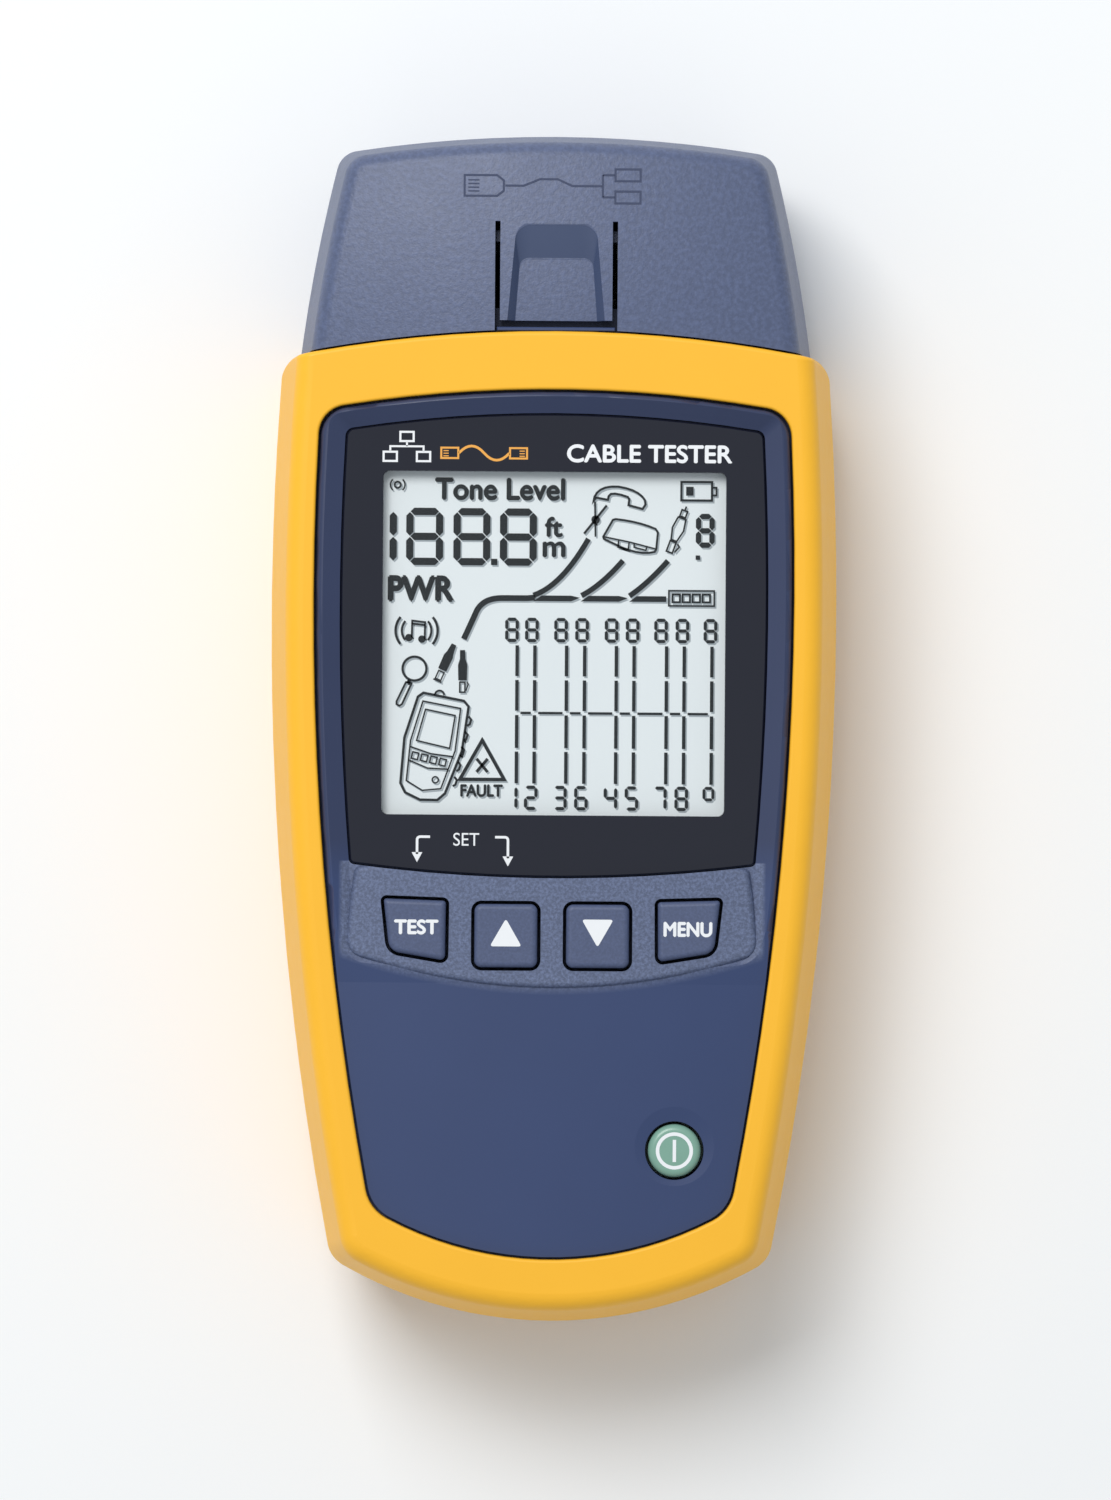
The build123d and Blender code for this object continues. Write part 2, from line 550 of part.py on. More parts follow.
with BuildPart() as backlight_leds:
    with Locations([(x, guide_y[1] + 0.9, guide_z[0] + 1.0) for x in (-16, 0, 16)]):
        Box(3.0, 1.4, 1.8)
backlight_leds.part.label = "backlight_leds"
export_step(backlight_leds.part, "parts/backlight_leds.step")

with BuildPart() as zebra_strip:
    zebra_z = (BOARD_Z[1], GLASS_Z[0])
    with Locations((0, FRAME_Y[0] - 1.5, (zebra_z[0] + zebra_z[1]) / 2)):
        Box(46, 2.2, zebra_z[1] - zebra_z[0])
zebra_strip.part.label = "zebra_strip"
export_step(zebra_strip.part, "parts/zebra_strip.step")

# ==== Electronics ====
# the board narrows in blocks towards the bottom end: (middle y, width, length)
BOARD_BLOCKS = [(3.0, 2 * BOARD_X, 78.0), (45.0, 48.0, 8.0), (-47.5, 43.0, 24.0), (-64.5, 36.0, 11.4)]
# chips under the board: (x, y, width, length)
CHIPS = [(-2, 22, 12, 12), (-16, 12, 7, 7), (14, 26, 7, 9), (15, 6, 9, 6), (-8, 2, 5, 6)]
CHIP_HEIGHT = 1.4
RESISTOR = (1.6, 0.8, 0.8)
RESISTORS_AT = (0, 38)
DIODE = (1.2, 2.0, 1.0)
DIODES_AT = (22, 12)
CAPACITOR_R = 2.5
CAPACITOR_HEIGHT = 4.0
CAPACITOR_AT = (-21.5, 0)
SOUNDER_AT = (-15, 27)
SOUNDER_R = 6.0
SOUNDER_HEIGHT = 3.5
with BuildPart() as main_board:
    with BuildSketch(Plane.XY.offset(BOARD_Z[0])):
        for middle_y, width, length in BOARD_BLOCKS:
            with Locations((0, middle_y)):
                Rectangle(width, length)
        with Locations(BOARD_SCREW_AT):
            Circle(BOARD_SCREW_R + 0.15, mode=Mode.SUBTRACT)
        with Locations(CASE_SCREW_AT):
            Circle(BOSS_R + 0.3, mode=Mode.SUBTRACT)
    extrude(amount=BOARD_Z[1] - BOARD_Z[0])
main_board.part.label = "main_board"
export_step(main_board.part, "parts/main_board.step")

with BuildPart() as board_chips:
    for x, y, width, length in CHIPS:
        with Locations((x, y, BOARD_Z[0] - CHIP_HEIGHT / 2)):
            Box(width, length, CHIP_HEIGHT)
board_chips.part.label = "board_chips"
export_step(board_chips.part, "parts/board_chips.step")

with BuildPart() as board_components:
    with Locations((*RESISTORS_AT, BOARD_Z[0] - RESISTOR[2] / 2)):
        with GridLocations(5.5, 3.0, 5, 2):
            Box(*RESISTOR)
    with Locations((*DIODES_AT, BOARD_Z[0] - DIODE[2] / 2)):
        with GridLocations(2.6, 4.0, 2, 4):
            Box(*DIODE)
    with Locations((*CAPACITOR_AT, BOARD_Z[0] - CAPACITOR_HEIGHT / 2)):
        Cylinder(CAPACITOR_R, CAPACITOR_HEIGHT)
board_components.part.label = "board_components"
export_step(board_components.part, "parts/board_components.step")

with BuildPart() as sounder:
    with Locations((*SOUNDER_AT, BOARD_Z[0] - SOUNDER_HEIGHT / 2)):
        Cylinder(SOUNDER_R, SOUNDER_HEIGHT)
    with Locations((*SOUNDER_AT, BOARD_Z[0] - SOUNDER_HEIGHT)):
        Cylinder(1.0, 1.6, mode=Mode.SUBTRACT)
sounder.part.label = "sounder"
export_step(sounder.part, "parts/sounder.step")


# ==== Ports: the tester and the adapter carry the same two connectors, face to face ====
def jack_housing(x, z_low, y_range, sign):
    """Modular jack: sign is 1 when it opens towards +Y and -1 when it opens towards -Y."""
    depth = y_range[1] - y_range[0]
    mouth_y = y_range[1] if sign > 0 else y_range[0]
    with Locations((x, (y_range[0] + y_range[1]) / 2, z_low + JACK[1] / 2)):
        Box(JACK[0], depth, JACK[1])
    cavity = depth - JACK_BACK
    with Locations((x, mouth_y - sign * cavity / 2, z_low + JACK_FLOOR + JACK_OPENING[1] / 2)):
        Box(JACK_OPENING[0], cavity, JACK_OPENING[1], mode=Mode.SUBTRACT)
    with Locations((x, mouth_y - sign * cavity / 2, z_low + JACK_FLOOR - JACK_NOTCH / 2)):
        Box(JACK_OPENING[0] / 2, cavity, JACK_NOTCH, mode=Mode.SUBTRACT)


def jack_contacts(x, z_low, y_range, sign):
    """Eight spring wires that slope down into the jack from its back wall."""
    depth = y_range[1] - y_range[0]
    back_y = (y_range[0] + JACK_BACK) if sign > 0 else (y_range[1] - JACK_BACK)
    top_z = z_low + JACK_FLOOR + JACK_OPENING[1]
    run = depth - JACK_BACK - 3.0
    for index in range(8):
        wire_x = x + (index - 3.5) * CONTACT_PITCH
        with BuildSketch(Plane.YZ.offset(wire_x - CONTACT_WIDTH / 2)) as wire_side:
            with BuildLine():
                Polyline(
                    (back_y, top_z - 2.6),
                    (back_y + sign * run, top_z - 0.6),
                    (back_y + sign * run, top_z - 1.0),
                    (back_y, top_z - 3.0),
                    close=True,
                )
            make_face()
        extrude(wire_side.sketch, amount=CONTACT_WIDTH)


def coax_barrel(x, z, root_y, wall_y, tip_y):
    """Threaded F connector barrel along Y with a flange against the inside of its wall."""
    sign = 1 if tip_y > root_y else -1
    for y_from, y_to, radius in [
        (root_y, wall_y - sign * COAX_FLANGE, COAX_BODY_R),
        (wall_y - sign * COAX_FLANGE, wall_y, COAX_FLANGE_R),
        (wall_y, tip_y, COAX_THREAD_R),
    ]:
        with Locations(Location((x, (y_from + y_to) / 2, z), (90, 0, 0))):
            Cylinder(radius, abs(y_to - y_from))
    # thread: rings cut to the root diameter
    thread_start = wall_y + sign * COAX_THREAD_START
    for index in range(COAX_RINGS):
        ring_y = thread_start + sign * index * COAX_PITCH
        with Locations(Location((x, ring_y, z), (90, 0, 0))):
            Torus(COAX_THREAD_R + 0.15, COAX_PITCH * 0.42, mode=Mode.SUBTRACT)
    with Locations(Location((x, (root_y + tip_y) / 2, z), (90, 0, 0))):
        Cylinder(COAX_BORE_R, abs(tip_y - root_y), mode=Mode.SUBTRACT)


def coax_nut(x, z, y_from, y_to):
    """Hexagonal nut that clamps the barrel to its wall."""
    low, high = min(y_from, y_to), max(y_from, y_to)
    with BuildSketch(Plane.XZ.offset(-low)) as hexagon:
        with Locations((x, z)):
            RegularPolygon(COAX_NUT_R, 6)
            Circle(COAX_THREAD_R + 0.02, mode=Mode.SUBTRACT)
    extrude(hexagon.sketch, amount=-(high - low))


def coax_insulator(x, z, root_y, tip_y):
    """Plastic core of the barrel with the round hole for the cable's centre conductor."""
    sign = 1 if tip_y > root_y else -1
    face_y = tip_y - sign * 0.4
    with Locations(Location((x, (root_y + face_y) / 2, z), (90, 0, 0))):
        Cylinder(COAX_BORE_R, abs(face_y - root_y))
        Cylinder(0.9, abs(face_y - root_y), mode=Mode.SUBTRACT)


def coax_contact(x, z, root_y, tip_y):
    """Springy centre tube, with a solder tail behind the barrel."""
    sign = 1 if tip_y > root_y else -1
    mouth_y = tip_y - sign * 1.2
    tail_y = root_y - sign * 1.5
    with Locations(Location((x, (tail_y + mouth_y) / 2, z), (90, 0, 0))):
        Cylinder(0.88, abs(mouth_y - tail_y))
    with Locations(Location((x, mouth_y - sign * 3, z), (90, 0, 0))):
        Cylinder(0.5, 6.2, mode=Mode.SUBTRACT)


with BuildPart() as jack_shell:
    jack_housing(JACK_X, JACK_BOTTOM_Z, JACK_Y, 1)
jack_shell.part.label = "jack_housing"
export_step(jack_shell.part, "parts/jack_housing.step")

with BuildPart() as jack_wires:
    jack_contacts(JACK_X, JACK_BOTTOM_Z, JACK_Y, 1)
jack_wires.part.label = "jack_contacts"
export_step(jack_wires.part, "parts/jack_contacts.step")

with BuildPart() as barrel:
    coax_barrel(COAX_X, COAX_Z, COAX_ROOT_Y, NECK_END_Y - NECK_WALL - FIT, COAX_TIP_Y)
barrel.part.label = "coax_barrel"
export_step(barrel.part, "parts/coax_barrel.step")

with BuildPart() as nut:
    coax_nut(COAX_X, COAX_Z, NECK_END_Y, NECK_END_Y + 1.8)
nut.part.label = "coax_nut"
export_step(nut.part, "parts/coax_nut.step")

with BuildPart() as core:
    coax_insulator(COAX_X, COAX_Z, COAX_ROOT_Y, COAX_TIP_Y)
core.part.label = "coax_insulator"
export_step(core.part, "parts/coax_insulator.step")

with BuildPart() as centre:
    coax_contact(COAX_X, COAX_Z, COAX_ROOT_Y, COAX_TIP_Y)
centre.part.label = "coax_contact"
export_step(centre.part, "parts/coax_contact.step")

# ==== Keys: silicone mat on the board, moving key tops on thin collapsing webs ====
KEYS = {
    "port_key": (-OUTER_KEY_X, OUTER_KEY_Y),
    "up_key": (-CENTRE_KEY_X, CENTRE_KEY_Y),
    "down_key": (CENTRE_KEY_X, CENTRE_KEY_Y),
    "mode_key": (OUTER_KEY_X, OUTER_KEY_Y),
}
ALL_KEYS = {**KEYS, "power_key": POWER_KEY_AT}
with BuildPart() as keypad_mat:
    with BuildSketch(Plane.XY.offset(MAT_Z[0])):
        with Locations((0, CENTRE_KEY_Y)):
            Rectangle(*MAT_AROUND_KEYS)
        with Locations(MAT_TO_POWER_KEY_AT):
            Rectangle(*MAT_TO_POWER_KEY)
        with Locations(list(ALL_KEYS.values())):
            Circle(PUCK_R + 0.5, mode=Mode.SUBTRACT)
        with Locations(CASE_SCREW_AT):
            Circle(BOSS_R + 0.3, mode=Mode.SUBTRACT)
    extrude(amount=MAT_Z[1] - MAT_Z[0])
keypad_mat.part.label = "keypad_mat"
export_step(keypad_mat.part, "parts/keypad_mat.step")

for name, (x, y) in KEYS.items():
    side = -1 if x < 0 else 1
    with BuildPart() as key:
        if name in ("port_key", "mode_key"):
            shape = key_outline(KEY_BASE_Z, side, KEY_GAP)
        else:
            shape = centre_key_outline(KEY_BASE_Z, x, KEY_GAP)
        extrude(shape, amount=KEY_TOP_Z - KEY_BASE_Z)
        fillet(key.edges().group_by(Axis.Z)[-1], KEY_ROUND)
        # flange that keeps the key behind the case, and the contact puck below it
        with Locations((x, y, KEY_BASE_Z + FLANGE_HEIGHT / 2)):
            Box(*KEY_FLANGE, FLANGE_HEIGHT)
        with Locations((x, y, (KEY_PUCK_Z + KEY_BASE_Z) / 2)):
            Cylinder(PUCK_R, KEY_BASE_Z - KEY_PUCK_Z)
    key.part.label = name
    export_step(key.part, f"parts/{name}.step")

with BuildPart() as power_key:
    with Locations((*POWER_KEY_AT, (KEY_BASE_Z + POWER_KEY_TOP_Z) / 2)):
        Cylinder(POWER_KEY_R, POWER_KEY_TOP_Z - KEY_BASE_Z)
    fillet(power_key.edges().group_by(Axis.Z)[-1], POWER_KEY_ROUND)
    with Locations((*POWER_KEY_AT, KEY_BASE_Z + FLANGE_HEIGHT / 2)):
        Cylinder(POWER_KEY_R + 0.6, FLANGE_HEIGHT)
    with Locations((*POWER_KEY_AT, (KEY_PUCK_Z + KEY_BASE_Z) / 2)):
        Cylinder(PUCK_R, KEY_BASE_Z - KEY_PUCK_Z)
power_key.part.label = "power_key"
export_step(power_key.part, "parts/power_key.step")

for name, (x, y) in ALL_KEYS.items():
    with BuildPart() as web:
        with Locations((x, y, (MAT_Z[1] + KEY_BASE_Z) / 2)):
            Cylinder(WEB_R, KEY_BASE_Z - MAT_Z[1])
            Cylinder(WEB_R - WEB_WALL, KEY_BASE_Z - MAT_Z[1], mode=Mode.SUBTRACT)
    web.part.label = name + "_web"
    export_step(web.part, f"parts/{name}_web.step")

with BuildPart() as key_contacts:
    with Locations([(x, y, BOARD_Z[1] + PAD_THICKNESS / 2) for x, y in ALL_KEYS.values()]):
        Cylinder(PUCK_R, PAD_THICKNESS)
key_contacts.part.label = "key_contacts"
export_step(key_contacts.part, "parts/key_contacts.step")

# ==== Batteries, their contacts and the door ====
bay_middle = (BAY_Y[0] + BAY_Y[1]) / 2
for name, x, sign in [("battery_cell_left", -CELL_X, 1), ("battery_cell_right", CELL_X, -1)]:
    with BuildPart() as cell:
        body_y = bay_middle + sign * CELL_SHIFT
        with Locations(Location((x, body_y, CELL_Z), (90, 0, 0))):
            Cylinder(CELL_R, CELL_LENGTH)
        fillet(cell.edges(), 0.5)
        with Locations(Location((x, body_y + sign * (CELL_LENGTH + NUB_HEIGHT) / 2, CELL_Z), (90, 0, 0))):
            Cylinder(NUB_R, NUB_HEIGHT)
    cell.part.label = name
    export_step(cell.part, f"parts/{name}.step")

with BuildPart() as battery_plate_contacts:
    for x, sign in [(-CELL_X, 1), (CELL_X, -1)]:
        end_y = bay_middle + sign * (BAY_Y[1] - BAY_Y[0]) / 2
        with Locations((x, end_y - sign * 0.2, CELL_Z)):
            Box(10, 0.4, 11)
battery_plate_contacts.part.label = "battery_plate_contacts"
export_step(battery_plate_contacts.part, "parts/battery_plate_contacts.step")

with BuildPart() as battery_spring_contacts:
    for x, sign in [(-CELL_X, -1), (CELL_X, 1)]:
        end_y = bay_middle + sign * (BAY_Y[1] - BAY_Y[0]) / 2
        with Locations((x, end_y - sign * 0.2, CELL_Z)):
            Box(10, 0.4, 11)
        # compressed conical spring, as touching rings that shrink towards the cell
        for index, radius in enumerate((3.8, 3.3, 2.8)):
            ring_y = end_y - sign * (0.4 + 0.28 + index * 0.42)
            with Locations(Location((x, ring_y, CELL_Z), (90, 0, 0))):
                Torus(radius, 0.35)
battery_spring_contacts.part.label = "battery_spring_contacts"
export_step(battery_spring_contacts.part, "parts/battery_spring_contacts.step")

with BuildPart() as battery_door:
    with BuildSketch(Plane.XY.offset(DOOR_Z[0])):
        with Locations((0, (DOOR_Y[0] + DOOR_Y[1]) / 2)):
            RectangleRounded(2 * DOOR_X, DOOR_Y[1] - DOOR_Y[0], 1.5)
    extrude(amount=DOOR_Z[1] - DOOR_Z[0])
    chamfer(battery_door.edges().group_by(Axis.Z)[0], 0.3)
    # finger grooves across the outside
    for index in range(5):
        with Locations((0, DOOR_Y[1] - 6 - 2.2 * index, DOOR_Z[0])):
            Box(18, 1.0, 0.8, mode=Mode.SUBTRACT)
    with Locations((*DOOR_SCREW_AT, DOOR_Z[0] + 0.6)):
        Cylinder(DOOR_SCREW_HEAD_R + 0.15, 1.2, mode=Mode.SUBTRACT)
    with Locations((*DOOR_SCREW_AT, DOOR_Z[1])):
        Cylinder(DOOR_SCREW_R + 0.1, 3, mode=Mode.SUBTRACT)
battery_door.part.label = "battery_door"
export_step(battery_door.part, "parts/battery_door.step")

with BuildPart() as door_foam:
    with Locations((0, bay_middle, DOOR_Z[1] + 0.35)):
        Box(24, 30, 0.7)
door_foam.part.label = "door_foam"
export_step(door_foam.part, "parts/door_foam.step")

with BuildPart() as door_screw:
    with Locations(DOOR_SCREW_AT):
        screw(DOOR_Z[0] + 0.05, DOOR_SCREW_TIP_Z, DOOR_SCREW_HEAD_R, 1.1, DOOR_SCREW_R)
door_screw.part.label = "door_screw"
export_step(door_screw.part, "parts/door_screw.step")

with BuildPart() as door_screw_insert:
    with Locations((*DOOR_SCREW_AT, (INSERT_Z[0] + INSERT_Z[1]) / 2)):
        Cylinder(INSERT_R, INSERT_Z[1] - INSERT_Z[0])
        Cylinder(DOOR_SCREW_R + 0.05, INSERT_Z[1] - INSERT_Z[0], mode=Mode.SUBTRACT)
door_screw_insert.part.label = "door_screw_insert"
export_step(door_screw_insert.part, "parts/door_screw_insert.step")

# ==== Screws ====
with BuildPart() as case_screws:
    with Locations(CASE_SCREW_AT):
        screw(CASE_SCREW_HEAD_Z, CASE_SCREW_TIP_Z - 0.5, CASE_SCREW_HEAD_R, CASE_SCREW_HEAD_H, CASE_SCREW_R)
case_screws.part.label = "case_screws"
export_step(case_screws.part, "parts/case_screws.step")

with BuildPart() as board_screws:
    with Locations(BOARD_SCREW_AT):
        head_z = BOARD_Z[0] - BOARD_SCREW_HEAD_H
        tip_z = BOARD_SCREW_TIP_Z - 0.5
        screw(head_z, tip_z, BOARD_SCREW_HEAD_R, BOARD_SCREW_HEAD_H, BOARD_SCREW_R)
board_screws.part.label = "board_screws"
export_step(board_screws.part, "parts/board_screws.step")


# ==== Adapter: detachable cap with its own connectors, board and latch ====
def cap_blank(front_z, back_z, inset, corner_r):
    """Drafted body of the adapter, cut off along the seam."""
    blank = (CAP_SIDE, CAP_TOP, CAP_BLANK_END, (corner_r, 5.0))
    drafted(blank, CASE_SPLIT_Z, front_z, CAP_DRAFT, inset)
    drafted(blank, CASE_SPLIT_Z, back_z, CAP_DRAFT, inset)


def cut_along_seam():
    """Takes away everything on the tester's side of the seam."""
    with BuildSketch(Plane.XY.offset(-5)) as tester_side:
        with BuildLine():
            seam = ThreePointArc(
                (-50, SEAM[0] + SEAM_GAP - end_fall(SEAM[1], 50)),
                (0, SEAM[0] + SEAM_GAP),
                (50, SEAM[0] + SEAM_GAP - end_fall(SEAM[1], 50)),
            )
            Polyline(seam @ 1, (50, -10), (-50, -10), seam @ 0)
        make_face()
    extrude(tester_side.sketch, amount=60, mode=Mode.SUBTRACT)


with BuildPart() as cap_outside:
    cap_blank(CAP_FRONT_Z, CAP_BACK_Z, 0, CAP_CORNER)
    fillet(cap_outside.edges().filter_by(lambda e: abs(e.center().Z - CASE_SPLIT_Z) < 0.01), BELT_ROUND)
    fillet(cap_outside.edges().group_by(Axis.Z)[-1], CAP_ROUND)
    fillet(cap_outside.edges().group_by(Axis.Z)[0], CAP_ROUND)
    cut_along_seam()

with BuildPart() as cap_inside:
    cap_blank(CAP_FRONT_Z - CAP_WALL, CAP_BACK_Z + CAP_WALL, CAP_WALL, CAP_CORNER / 2)
    cut_along_seam()

cap_boss_x = CAP_SCREW_AT[1][0]
with BuildPart() as cap_bosses:
    with Locations([(x, y, CASE_SPLIT_Z) for x, y in CAP_SCREW_AT]):
        Cylinder(BOSS_R, CAP_FRONT_Z - CAP_BACK_Z - 2)
    add(cap_inside.part, mode=Mode.INTERSECT)

with BuildPart() as latch_opening:
    opening_x = TAB_HALF_X + TAB_SLOT
    opening_y = (SEAM[0] - 3, TAB_Y[1] + TAB_ROOT_GAP)
    with Locations((0, (opening_y[0] + opening_y[1]) / 2, CAP_FRONT_Z)):
        Box(2 * opening_x, opening_y[1] - opening_y[0], 12)

with BuildPart() as adapter_front_shell:
    add(cap_outside.part)
    add(cap_inside.part, mode=Mode.SUBTRACT)
    add(cap_bosses.part)
    with Locations((0, 0, CASE_SPLIT_Z - 50)):
        Box(200, 300, 100, mode=Mode.SUBTRACT)
    add(latch_opening.part, mode=Mode.SUBTRACT)
    with Locations([(x, y, CASE_SPLIT_Z) for x, y in CAP_SCREW_AT]):
        Cylinder(CASE_SCREW_R + 0.02, 2 * (CASE_SCREW_TIP_Z - CASE_SPLIT_Z), mode=Mode.SUBTRACT)
adapter_front_shell.part.label = "adapter_front_shell"
export_step(adapter_front_shell.part, "parts/adapter_front_shell.step")

with BuildPart() as adapter_rear_shell:
    add(cap_outside.part)
    add(cap_inside.part, mode=Mode.SUBTRACT)
    add(cap_bosses.part)
    with Locations((0, 0, CASE_SPLIT_Z - FIT / 2 + 50)):
        Box(200, 300, 100, mode=Mode.SUBTRACT)
    with Locations([(x, y, CASE_SPLIT_Z / 2) for x, y in CAP_SCREW_AT]):
        Cylinder(CASE_SCREW_R + FIT, CASE_SPLIT_Z + 2, mode=Mode.SUBTRACT)
    with Locations([(x, y, (CAP_BACK_Z + 2.4) / 2) for x, y in CAP_SCREW_AT]):
        Cylinder(CASE_SCREW_HEAD_R + FIT, CAP_BACK_Z + 2.4, mode=Mode.SUBTRACT)
adapter_rear_shell.part.label = "adapter_rear_shell"
export_step(adapter_rear_shell.part, "parts/adapter_rear_shell.step")

with BuildPart() as latch_tab:
    with Locations((0, (TAB_Y[0] + TAB_Y[1]) / 2, (TAB_BOTTOM_Z + CAP_FRONT_Z) / 2)):
        Box(2 * TAB_HALF_X, TAB_Y[1] - TAB_Y[0], CAP_FRONT_Z - TAB_BOTTOM_Z)
    # thumb recess, open at the free end
    with BuildSketch(Plane.XY.offset(TAB_FLOOR_Z)) as recess_floor:
        Polygon((-5.9, 50), (5.9, 50), (4.9, 63.5), (-4.9, 63.5), align=None)
        fillet(recess_floor.vertices().group_by(Axis.Y)[-1], 1.3)
    with BuildSketch(Plane.XY.offset(CAP_FRONT_Z)) as recess_mouth:
        Polygon((-7.1, 50), (7.1, 50), (5.4, 68.4), (-5.4, 68.4), align=None)
        fillet(recess_mouth.vertices().group_by(Axis.Y)[-1], 2.2)
    loft([recess_floor.sketch, recess_mouth.sketch], ruled=True, mode=Mode.SUBTRACT)
latch_tab.part.label = "latch_tab"
export_step(latch_tab.part, "parts/latch_tab.step")

with BuildPart() as adapter_port_plate:
    add(cap_inside.part)
    with Locations((0, (PLATE_Y[0] + PLATE_Y[1]) / 2, (PLATE_Z[0] + PLATE_Z[1]) / 2)):
        Box(2 * PLATE_HALF_X, PLATE_Y[1] - PLATE_Y[0], PLATE_Z[1] - PLATE_Z[0], mode=Mode.INTERSECT)
    with Locations((CAP_JACK_X, PLATE_Y[0], CAP_BOARD_Z[1] + JACK[1] / 2)):
        Box(JACK[0] + 2 * FIT, 6, JACK[1] + 2 * FIT, mode=Mode.SUBTRACT)
    with Locations(Location((CAP_COAX_X, PLATE_Y[0], CAP_COAX_Z), (90, 0, 0))):
        Cylinder(COAX_BODY_R + FIT, 6, mode=Mode.SUBTRACT)
adapter_port_plate.part.label = "adapter_port_plate"
export_step(adapter_port_plate.part, "parts/adapter_port_plate.step")

with BuildPart() as adapter_board:
    with Locations((0, (CAP_BOARD_Y[0] + CAP_BOARD_Y[1]) / 2, (CAP_BOARD_Z[0] + CAP_BOARD_Z[1]) / 2)):
        Box(2 * CAP_BOARD_X, CAP_BOARD_Y[1] - CAP_BOARD_Y[0], CAP_BOARD_Z[1] - CAP_BOARD_Z[0])
adapter_board.part.label = "adapter_board"
export_step(adapter_board.part, "parts/adapter_board.step")

with BuildPart() as cap_jack_shell:
    jack_housing(CAP_JACK_X, CAP_BOARD_Z[1], CAP_JACK_Y, -1)
cap_jack_shell.part.label = "adapter_jack_housing"
export_step(cap_jack_shell.part, "parts/adapter_jack_housing.step")

with BuildPart() as cap_jack_wires:
    jack_contacts(CAP_JACK_X, CAP_BOARD_Z[1], CAP_JACK_Y, -1)
cap_jack_wires.part.label = "adapter_jack_contacts"
export_step(cap_jack_wires.part, "parts/adapter_jack_contacts.step")

with BuildPart() as cap_barrel:
    coax_barrel(CAP_COAX_X, CAP_COAX_Z, CAP_COAX_ROOT_Y, PLATE_Y[1] + FIT, CAP_COAX_TIP_Y)
cap_barrel.part.label = "adapter_coax_barrel"
export_step(cap_barrel.part, "parts/adapter_coax_barrel.step")

with BuildPart() as cap_nut:
    coax_nut(CAP_COAX_X, CAP_COAX_Z, PLATE_Y[0], PLATE_Y[0] - 1.8)
cap_nut.part.label = "adapter_coax_nut"
export_step(cap_nut.part, "parts/adapter_coax_nut.step")

with BuildPart() as cap_core:
    coax_insulator(CAP_COAX_X, CAP_COAX_Z, CAP_COAX_ROOT_Y, CAP_COAX_TIP_Y)
cap_core.part.label = "adapter_coax_insulator"
export_step(cap_core.part, "parts/adapter_coax_insulator.step")

with BuildPart() as cap_centre:
    coax_contact(CAP_COAX_X, CAP_COAX_Z, CAP_COAX_ROOT_Y, CAP_COAX_TIP_Y)
cap_centre.part.label = "adapter_coax_contact"
export_step(cap_centre.part, "parts/adapter_coax_contact.step")

with BuildPart() as adapter_screws:
    with Locations(CAP_SCREW_AT):
        screw(CAP_BACK_Z + 0.6, CASE_SCREW_TIP_Z - 0.5, CASE_SCREW_HEAD_R, CASE_SCREW_HEAD_H, CASE_SCREW_R)
adapter_screws.part.label = "adapter_screws"
export_step(adapter_screws.part, "parts/adapter_screws.step")
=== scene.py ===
import json
from math import cos, pi, radians, sin

import bmesh
import bpy
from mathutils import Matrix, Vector


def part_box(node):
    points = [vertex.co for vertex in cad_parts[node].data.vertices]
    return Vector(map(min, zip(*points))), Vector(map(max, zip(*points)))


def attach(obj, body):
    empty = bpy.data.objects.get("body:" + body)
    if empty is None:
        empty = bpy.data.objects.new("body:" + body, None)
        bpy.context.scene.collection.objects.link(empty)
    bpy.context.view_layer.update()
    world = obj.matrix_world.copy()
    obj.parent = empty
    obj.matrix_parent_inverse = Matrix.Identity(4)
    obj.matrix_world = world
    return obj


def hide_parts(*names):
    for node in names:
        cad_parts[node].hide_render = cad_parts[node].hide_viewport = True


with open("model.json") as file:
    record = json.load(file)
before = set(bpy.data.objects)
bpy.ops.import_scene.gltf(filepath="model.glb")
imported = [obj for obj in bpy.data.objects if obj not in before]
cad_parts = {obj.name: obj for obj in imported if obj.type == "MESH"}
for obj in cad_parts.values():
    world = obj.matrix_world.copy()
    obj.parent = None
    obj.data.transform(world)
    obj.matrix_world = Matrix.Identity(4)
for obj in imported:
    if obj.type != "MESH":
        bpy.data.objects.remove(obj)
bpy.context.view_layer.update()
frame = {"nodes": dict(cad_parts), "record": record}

NODES = frame["nodes"]
MM = 0.001

# Network cable tester, lying on its back: +Z out of the display, +Y towards the adapter, +X to the
# right. Lengths are millimetres unless their name ends in _M, which is metres.


# ======================================================================= materials
def srgb(red, green, blue):
    """Linear colour from 0-255 display values."""

    def linear(value):
        value = value / 255
        return value / 12.92 if value <= 0.04045 else ((value + 0.055) / 1.055) ** 2.4

    return (linear(red), linear(green), linear(blue), 1.0)


